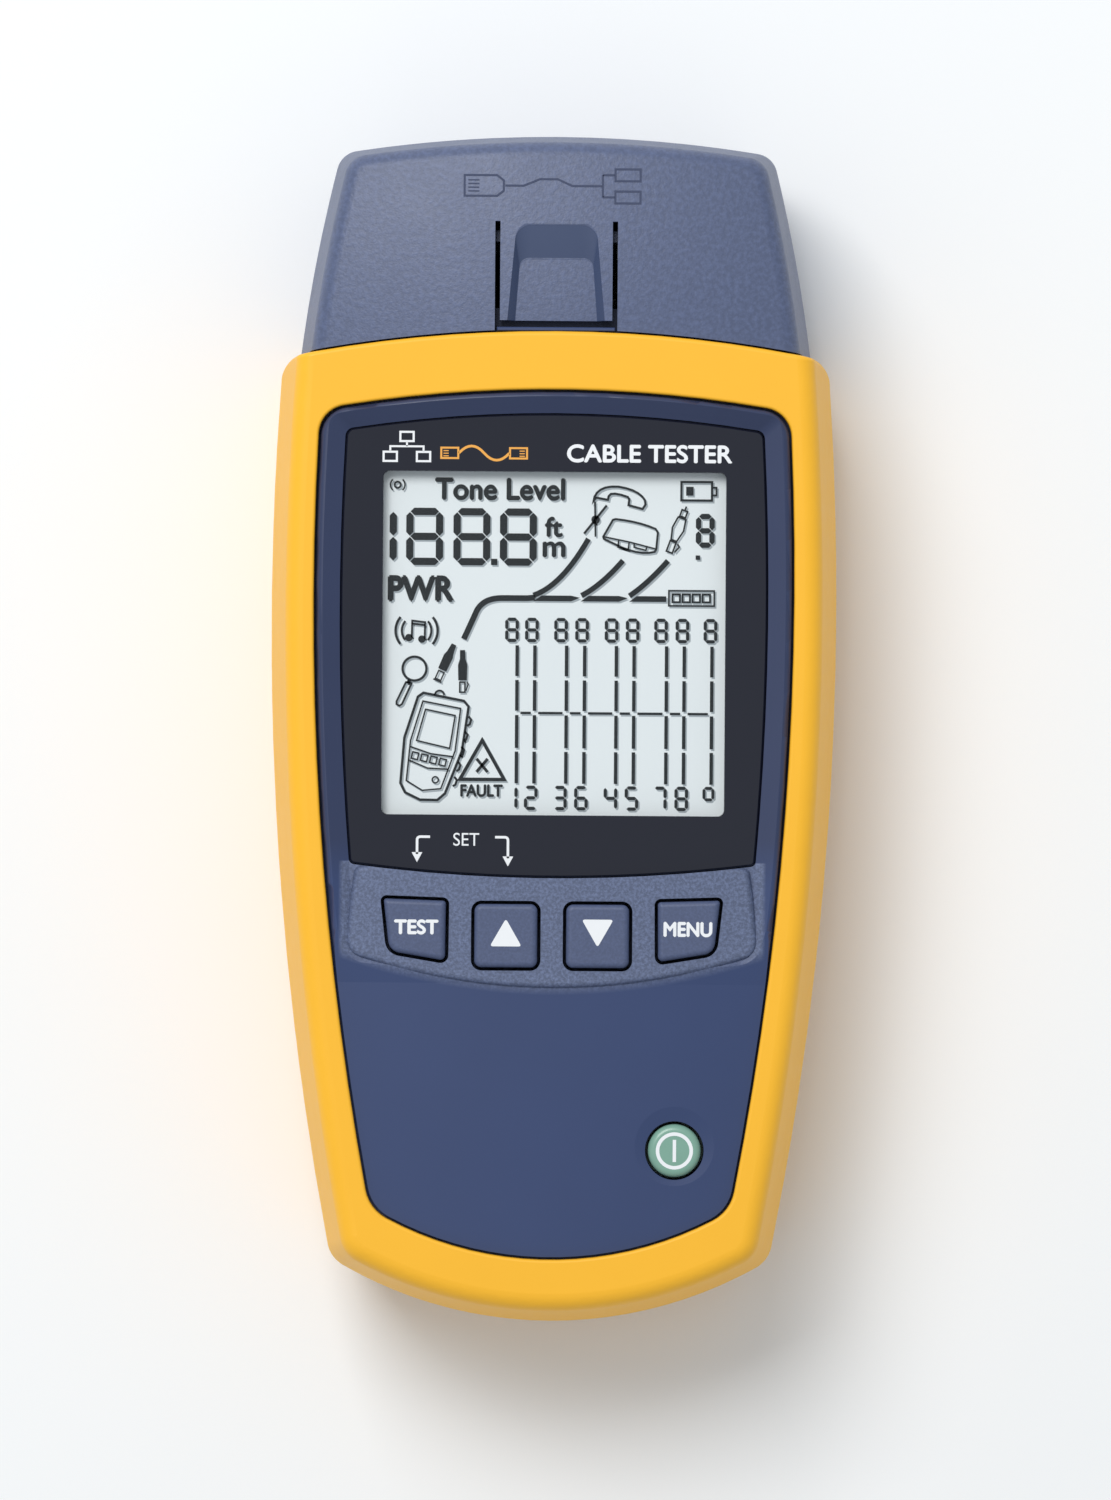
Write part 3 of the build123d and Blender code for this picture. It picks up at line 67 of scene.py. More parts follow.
class Shader:
    """Small helper round one node tree: a Principled shader with procedural inputs."""

    def __init__(self, name):
        self.material = bpy.data.materials.new(name)
        self.material.use_nodes = True
        self.tree = self.material.node_tree
        self.bsdf = self.tree.nodes["Principled BSDF"]
        self.coords = self.add("ShaderNodeTexCoord").outputs["Object"]

    def add(self, kind, **inputs):
        """New node with constants on its named inputs."""
        node = self.tree.nodes.new(kind)
        for key, value in inputs.items():
            node.inputs[key].default_value = value
        return node

    def link(self, output, target):
        """Wires an output to an input."""
        self.tree.links.new(output, target)

    def noise(self, size, detail=3.0, roughness=0.55):
        """Noise whose blobs are about size millimetres across."""
        scale = 1.0 / (size * MM)
        node = self.add("ShaderNodeTexNoise", Scale=scale, Detail=detail, Roughness=roughness)
        self.link(self.coords, node.inputs["Vector"])
        return node.outputs["Fac"]

    def cells(self, size):
        """Cellular pattern with cells about size millimetres across."""
        node = self.add("ShaderNodeTexVoronoi", Scale=1.0 / (size * MM))
        self.link(self.coords, node.inputs["Vector"])
        return node.outputs["Distance"]

    def ramp(self, value, low, high, start=0.0, end=1.0):
        """Linear map of value from start..end to low..high."""
        node = self.tree.nodes.new("ShaderNodeMapRange")
        for key, number in (("From Min", start), ("From Max", end), ("To Min", low), ("To Max", high)):
            node.inputs[key].default_value = number
        self.link(value, node.inputs["Value"])
        return node.outputs["Result"]

    def math(self, operation, first, second):
        """Result of a sum on two values; each is a number or an output."""
        node = self.tree.nodes.new("ShaderNodeMath")
        node.operation = operation
        for index, value in enumerate((first, second)):
            if isinstance(value, (int, float)):
                node.inputs[index].default_value = value
            else:
                self.link(value, node.inputs[index])
        return node.outputs[0]

    def mix(self, factor, first, second):
        """Colour between first and second by factor; each is a colour or an output."""
        node = self.tree.nodes.new("ShaderNodeMix")
        node.data_type = "RGBA"
        self.link(factor, node.inputs["Factor"])
        for socket, value in ((node.inputs[6], first), (node.inputs[7], second)):
            if isinstance(value, tuple):
                socket.default_value = value
            else:
                self.link(value, socket)
        return node.outputs[2]

    def bump(self, height, depth):
        """Bump of about depth millimetres."""
        node = self.add("ShaderNodeBump", Strength=1.0, Distance=depth * MM)
        self.link(height, node.inputs["Height"])
        self.link(node.outputs["Normal"], self.bsdf.inputs["Normal"])

    def set(self, **values):
        """Constants on the shader's own inputs, with underscores for spaces."""
        for key, value in values.items():
            self.bsdf.inputs[key.replace("_", " ")].default_value = value


def scaled(colour, factor):
    """Colour made lighter or darker by factor."""
    return (*[min(1.0, c * factor) for c in colour[:3]], 1.0)


def moulded(name, colour, roughness, grain=0.35, depth=0.02):
    """Injection-moulded plastic: spark-eroded grain, faint mottling and uneven sheen."""
    s = Shader(name)
    patches = s.noise(9.0)
    fine = s.noise(grain, detail=4.0, roughness=0.65)
    tone = s.mix(patches, scaled(colour, 0.94), scaled(colour, 1.06))
    s.link(tone, s.bsdf.inputs["Base Color"])
    s.link(s.ramp(s.noise(2.5), roughness - 0.05, roughness + 0.05), s.bsdf.inputs["Roughness"])
    s.bump(fine, depth)
    s.set(Specular_IOR_Level=0.5)
    return s.material


def metal(name, colour, roughness, streak=0.4):
    """Plated or turned metal with fine tool marks and dull patches."""
    s = Shader(name)
    marks = s.noise(streak, detail=5.0, roughness=0.7)
    dull = s.noise(2.2)
    s.link(s.mix(dull, scaled(colour, 0.86), scaled(colour, 1.05)), s.bsdf.inputs["Base Color"])
    s.link(s.ramp(marks, roughness - 0.06, roughness + 0.12), s.bsdf.inputs["Roughness"])
    s.bump(marks, 0.004)
    s.set(Metallic=1.0)
    return s.material


def elastomer():
    """Yellow bumper: satin skin with a slightly dusty grain."""
    s = Shader("yellow elastomer")
    colour = srgb(253, 188, 47)
    pale = s.noise(14.0)
    fine = s.noise(0.22, detail=3.0)
    s.link(s.mix(pale, scaled(colour, 0.965), scaled(colour, 1.02)), s.bsdf.inputs["Base Color"])
    s.link(s.ramp(s.noise(1.8), 0.42, 0.52), s.bsdf.inputs["Roughness"])
    s.bump(fine, 0.006)
    s.set(Specular_IOR_Level=0.35)
    return s.material


# The shading treats the flat faces as gently crowned, as moulded covers are
CAP_CROWN_RADIUS_M = 0.13
CAP_CROWN_MIDDLE_Y_M = 0.056
FACE_CROWN_RADIUS_M = 0.22
# Outline of the key ridge on the face
RIDGE_END_Y = -36.1
RIDGE_END_RADIUS = 85.9
RIDGE_TOP_Y = -18.0
RIDGE_HALF_X = 28.9
# Depths of the two coarse grains
RIDGE_GRAIN = 0.07
LEATHER_GRAIN = 0.055


def place_of(s):
    """X, Y and Z of the shaded point, in metres."""
    split = s.tree.nodes.new("ShaderNodeSeparateXYZ")
    s.link(s.coords, split.inputs[0])
    return split.outputs


def crowned(s, square, radius):
    """Height in metres of a crown, at a squared distance from its middle."""
    return s.math("MULTIPLY", square, -0.5 / radius)


def face_plastic():
    """Front case: smooth plastic with a coarse grain on the key ridge; round the display its colour is
    darker and less blue, a painted shade of the slopes down to the lens.
    """
    s = Shader("blue case face")
    smooth = srgb(50, 66, 107)
    # Darker, less blue colour used round the display: painted shade of the slopes down to the lens
    rim_painted_shade = srgb(46, 57, 90)
    ridge = srgb(95, 106, 136)
    x, y = place_of(s)[:2]
    x_squared = s.math("MULTIPLY", x, x)
    end = s.math("SUBTRACT", y, s.math("MULTIPLY", x_squared, 0.5 / (RIDGE_END_RADIUS * MM)))
    across = s.ramp(s.math("ABSOLUTE", x, 0.0), 1.0, 0.0, (RIDGE_HALF_X - 0.6) * MM, RIDGE_HALF_X * MM)
    below = s.ramp(end, 0.0, 1.0, RIDGE_END_Y * MM, (RIDGE_END_Y + 1.6) * MM)
    above = s.ramp(y, 1.0, 0.0, (RIDGE_TOP_Y - 0.2) * MM, RIDGE_TOP_Y * MM)
    on_ridge = s.math("MULTIPLY", s.math("MULTIPLY", across, below), above)
    grain = s.noise(0.42, detail=5.0, roughness=0.7)
    fleck = s.ramp(grain, 0.0, 1.0, 0.42, 0.66)
    rough_colour = s.mix(fleck, scaled(ridge, 0.76), scaled(ridge, 1.34))
    # Mask of that painted shade: the face above the top of the key ridge
    rim_shade_mask = s.ramp(y, 0.0, 1.0, (RIDGE_TOP_Y - 3.0) * MM, (RIDGE_TOP_Y + 3.0) * MM)
    lower = s.mix(s.noise(16.0), scaled(smooth, 0.94), scaled(smooth, 1.06))
    shaded_upper = s.mix(s.noise(12.0), scaled(rim_painted_shade, 0.94), scaled(rim_painted_shade, 1.06))
    soft = s.mix(rim_shade_mask, lower, shaded_upper)
    s.link(s.mix(on_ridge, soft, rough_colour), s.bsdf.inputs["Base Color"])
    s.link(s.ramp(on_ridge, 0.40, 0.62), s.bsdf.inputs["Roughness"])
    height = s.math("MULTIPLY", s.math("MULTIPLY", grain, s.ramp(on_ridge, 0.10, 1.0)), RIDGE_GRAIN * MM)
    s.bump(s.math("ADD", height, crowned(s, x_squared, FACE_CROWN_RADIUS_M)), 1.0 / MM)
    s.set(Specular_IOR_Level=0.5)
    return s.material


def leather(s, colour, low, high):
    """Leathery grain with pale flecks; returns its colour and its height in metres."""
    grain = s.noise(0.62, detail=4.0, roughness=0.62)
    fine = s.noise(0.25, detail=2.0)
    fleck = s.ramp(grain, 0.0, 1.0, 0.40, 0.68)
    rough = s.math("ADD", grain, s.math("MULTIPLY", fine, 0.4))
    tone = s.mix(fleck, scaled(colour, low), scaled(colour, high))
    return tone, s.math("MULTIPLY", rough, LEATHER_GRAIN * MM)


def adapter_plastic(name="blue adapter", shaded_recess_between=None):
    """Adapter shells: leathery grain that catches the light, on a face that is crowned both ways.
    Between the two heights given the surface is smooth and painted darker, a painted shade standing in for
    the shade on the slopes of a thumb recess."""
    s = Shader(name)
    colour = srgb(84, 95, 127)
    tone, height = leather(s, colour, 0.86, 1.16)
    x, y, z = place_of(s)
    along = s.math("SUBTRACT", y, CAP_CROWN_MIDDLE_Y_M)
    squares = s.math("ADD", s.math("MULTIPLY", x, x), s.math("MULTIPLY", along, along))
    crown = crowned(s, squares, CAP_CROWN_RADIUS_M)
    if shaded_recess_between:
        low, high = shaded_recess_between
        above = s.ramp(z, 0.0, 1.0, low * MM, (low + 0.03) * MM)
        below = s.ramp(z, 1.0, 0.0, (high - 0.03) * MM, high * MM)
        smooth = s.math("MULTIPLY", above, below)
        # Painted shade: the recess slopes get a darker colour for their shade, and a smoother grain
        tone = s.mix(smooth, tone, srgb(62, 75, 107))
        height = s.math("MULTIPLY", height, s.ramp(smooth, 1.0, 0.1))
    s.link(tone, s.bsdf.inputs["Base Color"])
    s.link(s.ramp(s.noise(6.0), 0.42, 0.52), s.bsdf.inputs["Roughness"])
    s.bump(s.math("ADD", height, crown), 1.0 / MM)
    s.set(Specular_IOR_Level=0.6)
    return s.material


def lens_border():
    """Gloss black-blue border of the lens, with the faint haze of a hard coat."""
    s = Shader("lens border")
    colour = srgb(25, 27, 40)
    s.link(s.mix(s.noise(20.0), scaled(colour, 0.95), scaled(colour, 1.06)), s.bsdf.inputs["Base Color"])
    s.link(s.ramp(s.noise(3.0), 0.10, 0.16), s.bsdf.inputs["Roughness"])
    s.bump(s.noise(4.0, detail=1.0), 0.002)
    s.set(Specular_IOR_Level=0.4, Coat_Weight=0.3, Coat_Roughness=0.05)
    return s.material


def clear_window():
    """Clear pane over the display: almost all light passes, a little gloss stays."""
    s = Shader("lens window")
    tint = s.mix(s.noise(30.0), (0.01, 0.012, 0.014, 1), (0.02, 0.022, 0.024, 1))
    s.link(tint, s.bsdf.inputs["Base Color"])
    s.link(s.ramp(s.noise(8.0), 0.04, 0.07), s.bsdf.inputs["Roughness"])
    s.set(Alpha=0.04)
    return s.material


def reflector():
    """Display cell seen through its polariser: pale grey-blue with a pearly grain."""
    s = Shader("display reflector")
    grain = s.noise(0.12, detail=2.0)
    wash = s.noise(18.0, detail=1.0)
    tone = s.mix(wash, srgb(234, 242, 245), srgb(239, 246, 248))
    s.link(s.mix(s.ramp(grain, 0.0, 0.16), tone, srgb(247, 250, 251)), s.bsdf.inputs["Base Color"])
    s.link(s.ramp(grain, 0.45, 0.60), s.bsdf.inputs["Roughness"])
    s.bump(grain, 0.002)
    return s.material


def ink_and_painted_shadow(name, colour, roughness=0.5, uneven=0.05):
    """Printed or etched marks, and pale plates that are painted shadows of the display segments: dense
    colour that thins a little.
    """
    s = Shader(name)
    tone = s.mix(s.noise(0.6), scaled(colour, 1 - uneven), scaled(colour, 1 + uneven))
    s.link(tone, s.bsdf.inputs["Base Color"])
    s.link(s.ramp(s.noise(0.3), roughness - 0.06, roughness + 0.06), s.bsdf.inputs["Roughness"])
    s.bump(s.noise(0.2), 0.002)
    return s.material


def key_rubber(name, colour):
    """Silicone key with a coated, finely pitted top."""
    s = Shader(name)
    grain = s.noise(0.34, detail=4.0, roughness=0.65)
    fleck = s.ramp(grain, 0.0, 1.0, 0.40, 0.68)
    s.link(s.mix(fleck, scaled(colour, 0.90), scaled(colour, 1.14)), s.bsdf.inputs["Base Color"])
    s.link(s.ramp(s.noise(1.5), 0.46, 0.56), s.bsdf.inputs["Roughness"])
    s.bump(grain, 0.022)
    s.set(Specular_IOR_Level=0.5)
    return s.material


def power_rubber():
    """Green power key: glossy silicone."""
    s = Shader("green silicone")
    colour = srgb(124, 166, 149)
    s.link(s.mix(s.noise(1.6), scaled(colour, 0.94), scaled(colour, 1.06)), s.bsdf.inputs["Base Color"])
    s.link(s.ramp(s.noise(1.0), 0.30, 0.38), s.bsdf.inputs["Roughness"])
    s.bump(s.noise(0.3), 0.004)
    s.set(Specular_IOR_Level=0.6, Coat_Weight=0.25, Coat_Roughness=0.25)
    return s.material


def laminate():
    """Circuit board: solder mask over traces."""
    s = Shader("board laminate")
    brick = s.add("ShaderNodeTexBrick", Scale=260.0)
    s.link(s.coords, brick.inputs["Vector"])
    tone = s.mix(brick.outputs["Fac"], srgb(18, 84, 50), srgb(34, 112, 66))
    s.link(tone, s.bsdf.inputs["Base Color"])
    s.link(s.ramp(s.noise(1.4), 0.28, 0.42), s.bsdf.inputs["Roughness"])
    s.bump(brick.outputs["Fac"], 0.02)
    return s.material


def cell_sleeve():
    """Battery sleeve: shrunk film with faint dark and pale stretches."""
    s = Shader("cell sleeve")
    band = s.ramp(s.noise(3.0, detail=1.0), 0.0, 1.0, 0.45, 0.55)
    s.link(s.mix(band, srgb(34, 34, 37), srgb(44, 44, 48)), s.bsdf.inputs["Base Color"])
    s.link(s.ramp(s.noise(5.0), 0.22, 0.34), s.bsdf.inputs["Roughness"])
    s.bump(s.noise(1.2), 0.004)
    return s.material


def foam():
    """Black open-cell foam."""
    s = Shader("foam")
    pores = s.cells(0.5)
    s.link(s.mix(pores, srgb(40, 40, 42), srgb(66, 66, 68)), s.bsdf.inputs["Base Color"])
    s.link(s.ramp(pores, 0.8, 0.98), s.bsdf.inputs["Roughness"])
    s.bump(pores, 0.2)
    return s.material


SLOT_MATERIALS = {
    "yellow_elastomer": elastomer(),
    "blue_case_plastic": moulded("blue case", srgb(50, 66, 107), 0.42, grain=0.25, depth=0.008),
    "blue_adapter_plastic": adapter_plastic(),
    "clear_lens_plastic": lens_border(),
    "black_mask_plastic": moulded("black mask", srgb(26, 27, 33), 0.55, depth=0.004),
    "display_glass": reflector(),
    "white_plastic": moulded("white plastic", srgb(232, 232, 228), 0.45),
    "acrylic": moulded("light guide", srgb(228, 232, 230), 0.18, depth=0.002),
    "board_laminate": laminate(),
    "chip_plastic": moulded("chip epoxy", srgb(34, 34, 36), 0.6, grain=0.2),
    "grey_silicone": key_rubber("grey silicone", srgb(120, 124, 128)),
    "green_silicone": power_rubber(),
    "blue_silicone": key_rubber("blue silicone", srgb(76, 87, 119)),
    "jack_plastic": moulded("jack plastic", srgb(30, 30, 32), 0.5, grain=0.3),
    "gold_contact": metal("gold plating", srgb(226, 178, 92), 0.22),
    "nickel_plating": metal("nickel plating", srgb(206, 204, 198), 0.2),
    "port_insulator": moulded("port insulator", srgb(226, 224, 212), 0.4),
    "spring_steel": metal("spring steel", srgb(186, 186, 188), 0.3),
    "screw_steel": metal("black zinc", srgb(92, 92, 98), 0.36),
    "brass_insert": metal("brass", srgb(202, 164, 84), 0.3, streak=0.25),
    "cell_sleeve": cell_sleeve(),
    "foam": foam(),
}
FACE = face_plastic()
# Heights between which the latch's thumb recess slopes, and where the latch is painted darker as the shade
# of those slopes
RECESS_Z = (32.93, 34.13)
LATCH = adapter_plastic("blue latch", RECESS_Z)
SEGMENT = ink_and_painted_shadow("display segment", srgb(26, 33, 37), 0.35)
# Pale grey for the painted shadows of the display segments on the reflector
SEGMENT_PAINTED_SHADOW = ink_and_painted_shadow("display segment painted shadow", srgb(168, 178, 184), 0.6, uneven=0.03)
WHITE = ink_and_painted_shadow("white print", srgb(238, 240, 243), 0.45, uneven=0.02)
ORANGE = ink_and_painted_shadow("orange print", srgb(238, 168, 70), 0.45)
WINDOW = clear_window()

SLOT_OF = {part["node"]: part["material_slot"] for part in frame["record"]["subparts"]}
for name, node in NODES.items():
    finish = {"front_case": FACE, "latch_tab": LATCH}.get(name, SLOT_MATERIALS[SLOT_OF[name]])
    node.data.materials.clear()
    node.data.materials.append(finish)


# ======================================================================= drawing helpers
# Overlapping copies of a letter are laid at slightly different heights
LAYER_STEP = 0.004


def final_mesh(item):
    """Mesh of an object or text after its modifiers."""
    return bpy.data.meshes.new_from_object(item.evaluated_get(bpy.context.evaluated_depsgraph_get()))


def rectangle(u, v, width, height):
    """Corners of a rectangle from its top left one."""
    return [(u, v), (u + width, v), (u + width, v + height), (u, v + height)]


class Drawing:
    """Flat marks of one colour: strokes, plates and words, all as thin solids at one height."""

    def __init__(self, left=0.0, top=0.0):
        """Points are u to the right of left and v below top, in millimetres."""
        self.left = left
        self.top = top
        self.mesh = bmesh.new()

    def place(self, point):
        """Position in the row frame of a drawn point."""
        return Vector((self.left + point[0], self.top - point[1]))

    def plate(self, points):
        """Filled outline, with its corners in order."""
        corners = [self.mesh.verts.new((*self.place(p), 0.0)) for p in points]
        return self.mesh.faces.new(corners)

    def stroke(self, points, width, closed=False):
        """Band of even width along points, mitred where it turns."""
        path = [self.place(p) for p in points]
        count = len(path)
        rails = []
        for index, here in enumerate(path):
            before = path[index - 1] if closed or index else None
            after = path[(index + 1) % count] if closed or index < count - 1 else None
            into = (here - before).normalized() if before else (after - here).normalized()
            out = (after - here).normalized() if after else into
            tangent = into + out
            tangent = tangent.normalized() if tangent.length > 1e-6 else into
            normal = Vector((-tangent.y, tangent.x))
            lean = max(0.35, normal.dot(Vector((-into.y, into.x))))
            reach = normal * (width / 2 / lean)
            rails.append(tuple(self.mesh.verts.new((*(here + side * reach), 0.0)) for side in (1, -1)))
        for index in range(count if closed else count - 1):
            a, b = rails[index], rails[(index + 1) % count]
            self.mesh.faces.new((a[0], a[1], b[1], b[0]))

    def ring(self, centre, radius, width, start=0.0, end=360.0, steps=28):
        """Arc stroke; angles in degrees, anticlockwise from the right."""
        whole = abs(end - start) >= 360
        count = steps if whole else steps + 1
        angles = [radians(start + (end - start) * i / steps) for i in range(count)]
        points = [(centre[0] + radius * cos(a), centre[1] - radius * sin(a)) for a in angles]
        self.stroke(points, width, closed=whole)

    def disc(self, centre, radius):
        """Filled circle."""
        steps = 24
        angles = [2 * pi * i / steps for i in range(steps)]
        self.plate([(centre[0] + radius * cos(a), centre[1] - radius * sin(a)) for a in angles])

    def box(self, u, v, width, height):
        """Filled rectangle from its top left corner."""
        self.plate(rectangle(u, v, width, height))

    def frame(self, u, v, width, height, line):
        """Outlined rectangle from its top left corner."""
        self.stroke(rectangle(u, v, width, height), line, closed=True)

    def word(self, text, u, v, height, width, bold=0.0, align="LEFT"):
        """Text whose capitals are height tall, its top left (or top centre) at u, v.
        Bold text is the same text laid down again, shifted by bold each way."""
        curve = bpy.data.curves.new("word", "FONT")
        curve.body = text
        curve.size = 1.0
        curve.resolution_u = 6
        holder = bpy.data.objects.new("word", curve)
        bpy.context.scene.collection.objects.link(holder)
        bpy.context.view_layer.update()
        mesh = final_mesh(holder)
        bpy.data.objects.remove(holder)
        low = Vector((min(p.co.x for p in mesh.vertices), min(p.co.y for p in mesh.vertices)))
        high = Vector((max(p.co.x for p in mesh.vertices), max(p.co.y for p in mesh.vertices)))
        size = high - low
        tall = height / size.y
        wide = width / size.x
        shift = -wide * size.x / 2 if align == "CENTRE" else 0.0
        for p in mesh.vertices:
            p.co.x = self.left + u + shift + (p.co.x - low.x) * wide
            p.co.y = self.top - v - height + (p.co.y - low.y) * tall
            p.co.z = 0.0
        self.mesh.from_mesh(mesh)
        steps = ((bold, 0), (-2 * bold, 0), (bold, bold), (0, -2 * bold)) if bold else ()
        for across, up in steps:
            for p in mesh.vertices:
                p.co += Vector((across, up, LAYER_STEP))
            self.mesh.from_mesh(mesh)
        bpy.data.meshes.remove(mesh)

    def segments(self, u, v, width, height, line, lit="abcdefg"):
        """Seven-segment digit from its top left corner."""
        gap = line * 0.09
        half = line / 2
        middle = v + height / 2
        right, bottom = u + width, v + height

        def across(y):
            """Horizontal bar with pointed ends."""
            a, b = u + half + gap, right - half - gap
            self.plate([(a, y), (a + half, y - half), (b - half, y - half), (b, y), (b - half, y + half),
                        (a + half, y + half)])

        def down(x, y0, y1):
            """Vertical bar with pointed ends."""
            a, b = y0 + gap, y1 - gap
            self.plate([(x, a), (x + half, a + half), (x + half, b - half), (x, b), (x - half, b - half),
                        (x - half, a + half)])

        bars = {
            "a": lambda: across(v + half),
            "g": lambda: across(middle),
            "d": lambda: across(bottom - half),
            "f": lambda: down(u + half, v + half, middle),
            "b": lambda: down(right - half, v + half, middle),
            "e": lambda: down(u + half, middle, bottom - half),
            "c": lambda: down(right - half, middle, bottom - half),
        }
        for bar in lit:
            bars[bar]()

    def solid(self, name, low, high, material, body, slot, shift=(0.0, 0.0)):
        """Finishes the drawing as a piece between two heights, riding on a body."""
        made = self.mesh.copy()
        bmesh.ops.recalc_face_normals(made, faces=made.faces)
        for face in made.faces:
            if face.normal.z < 0:
                face.normal_flip()
        base = list(made.faces)
        grown = bmesh.ops.extrude_face_region(made, geom=base)
        top = [v for v in grown["geom"] if isinstance(v, bmesh.types.BMVert)]
        for v in made.verts:
            v.co.z += low
        for v in top:
            v.co.z += high - low
        bmesh.ops.recalc_face_normals(made, faces=made.faces)
        bmesh.ops.scale(made, vec=(MM, MM, MM), verts=made.verts)
        bmesh.ops.translate(made, vec=(shift[0] * MM, shift[1] * MM, 0), verts=made.verts)
        mesh = bpy.data.meshes.new(name)
        made.to_mesh(mesh)
        made.free()
        piece = bpy.data.objects.new(name, mesh)
        bpy.context.scene.collection.objects.link(piece)
        piece.data.materials.append(material)
        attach(piece, body)
        return piece


def curve_points(start, control, end, steps=10):
    """Quadratic curve from start to end, pulled towards control."""
    points = []
    for index in range(steps + 1):
        t = index / steps
        a, b, c = (1 - t) ** 2, 2 * t * (1 - t), t * t
        points.append(tuple(a * start[k] + b * control[k] + c * end[k] for k in (0, 1)))
    return points


# ======================================================================= display
VIEW_W = 46.4
VIEW_H = 46.5
VIEW_CENTRE_Y = 11.5
GLASS_TOP_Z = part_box("lcd_glass")[1].z / MM
# Heights of the pale plates that are painted shadows of the segments, just above the glass
PAINTED_SHADOW_Z = (GLASS_TOP_Z + 0.004, GLASS_TOP_Z + 0.012)
SEGMENT_Z = (GLASS_TOP_Z + 0.02, GLASS_TOP_Z + 0.05)
# Offset of the painted segment shadows, to the right of the segments and towards the bottom
PAINTED_SHADOW_SHIFT = (0.20, -0.24)
ICON_LINE = 0.3
THIN_LINE = 0.2
WIRE_LINE = 0.46
CABLE_LINE = 0.78

display = Drawing(-VIEW_W / 2, VIEW_CENTRE_Y + VIEW_H / 2)


def broadcast_icon():
    """Dot with a wave on either side."""
    display.ring((1.9, 1.85), 0.42, 0.26, steps=14)
    for start in (-48, 132):
        display.ring((1.9, 1.85), 0.98, 0.2, start, start + 96, steps=8)


def main_digits():
    """Large length reading: a leading one, three digits and a point."""
    height, width, line, top = 7.75, 5.0, 0.98, 4.95
    display.segments(0.85 - width + line, top, width, height, line, "bc")
    for u in (3.1, 9.5, 15.8):
        display.segments(u, top, width, height, line)
    display.box(14.62, 11.8, 0.85, 0.85)


def tone_icon():
    """Two notes between sound waves."""
    u, v = 4.6, 21.6
    for radius, line in ((2.0, 0.3), (2.85, 0.34)):
        for start in (-40, 140):
            display.ring((u, v), radius, line, start, start + 80, steps=10)
    # pair of joined notes
    stems = [(u - 0.65, v + 0.9), (u - 0.6, v - 1.35), (u + 1.15, v - 1.15), (u + 1.1, v + 1.1)]
    display.stroke(stems, 0.26)
    display.stroke([(u - 0.6, v - 0.95), (u + 1.15, v - 0.75)], 0.26)
    display.disc((u - 1.05, v + 0.95), 0.5)
    display.disc((u + 0.72, v + 1.15), 0.5)


def magnifier_icon():
    """Magnifying glass, handle down."""
    display.ring((4.35, 26.75), 1.62, 0.32)
    display.stroke([(3.7, 28.3), (3.45, 28.8)], 0.5)
    handle = [(3.6, 28.6), (3.95, 28.8), (2.7, 31.55), (2.35, 31.8), (1.95, 31.6), (1.95, 31.2), (3.2, 28.6)]
    display.stroke(handle, 0.26, closed=True)


def leaning(points, pivot, angle):
    """Points turned about pivot, clockwise on the display, by angle in degrees."""
    c, s = cos(radians(angle)), sin(radians(angle))
    turned = []
    for u, v in points:
        du, dv = u - pivot[0], v - pivot[1]
        turned.append((pivot[0] + c * du - s * dv, pivot[1] + s * du + c * dv))
    return turned


def meter_icon():
    """Pictogram of a handheld instrument, leaning to the right."""
    pivot = (6.9, 37.2)
    angle = 13

    def draw(points, line, closed=True):
        """Stroke that leans with the instrument."""
        display.stroke(leaning(points, pivot, angle), line, closed)

    draw(
        [(3.4, 31.2), (4.0, 30.5), (9.6, 30.3), (10.4, 30.9), (10.9, 37.0), (10.0, 43.1), (9.2, 44.2),
         (6.9, 44.7), (4.7, 44.2), (3.8, 43.1), (2.9, 37.0)],
        0.34,
    )
    draw(
        [(4.2, 31.6), (9.4, 31.4), (10.0, 37.2), (9.3, 42.6), (6.9, 43.4), (4.5, 42.6), (3.8, 37.2)],
        THIN_LINE,
    )
    draw([(4.8, 32.6), (8.9, 32.5), (9.2, 37.0), (4.6, 37.0)], THIN_LINE)
    draw([(4.0, 38.0), (6.9, 38.3), (9.9, 38.0)], THIN_LINE, closed=False)
    draw([(4.1, 39.8), (6.9, 40.3), (9.7, 39.8)], THIN_LINE, closed=False)
    for index in range(4):
        u = 4.45 + 1.28 * index
        draw(rectangle(u, 38.6, 0.85, 0.9), THIN_LINE)
    centre = leaning([(8.3, 41.6)], pivot, angle)[0]
    display.ring(centre, 0.42, THIN_LINE, steps=14)
    top = leaning([(6.2, 30.3)], pivot, angle)[0]
    display.ring(top, 0.62, 0.26, 0, 180, steps=8)
    # grip ribs on the right flank
    for index in range(5):
        v = 32.2 + 2.1 * index
        draw([(10.7, v), (11.15, v + 0.35), (11.1, v + 1.0), (10.8, v + 1.3)], 0.3, closed=False)


def fault_icon():
    """Warning triangle with a cross in it."""
    display.stroke([(13.6, 36.4), (16.6, 41.7), (10.6, 41.7)], 0.46, closed=True)
    display.stroke([(12.85, 38.9), (14.35, 40.7)], 0.4)
    display.stroke([(14.35, 38.9), (12.85, 40.7)], 0.4)


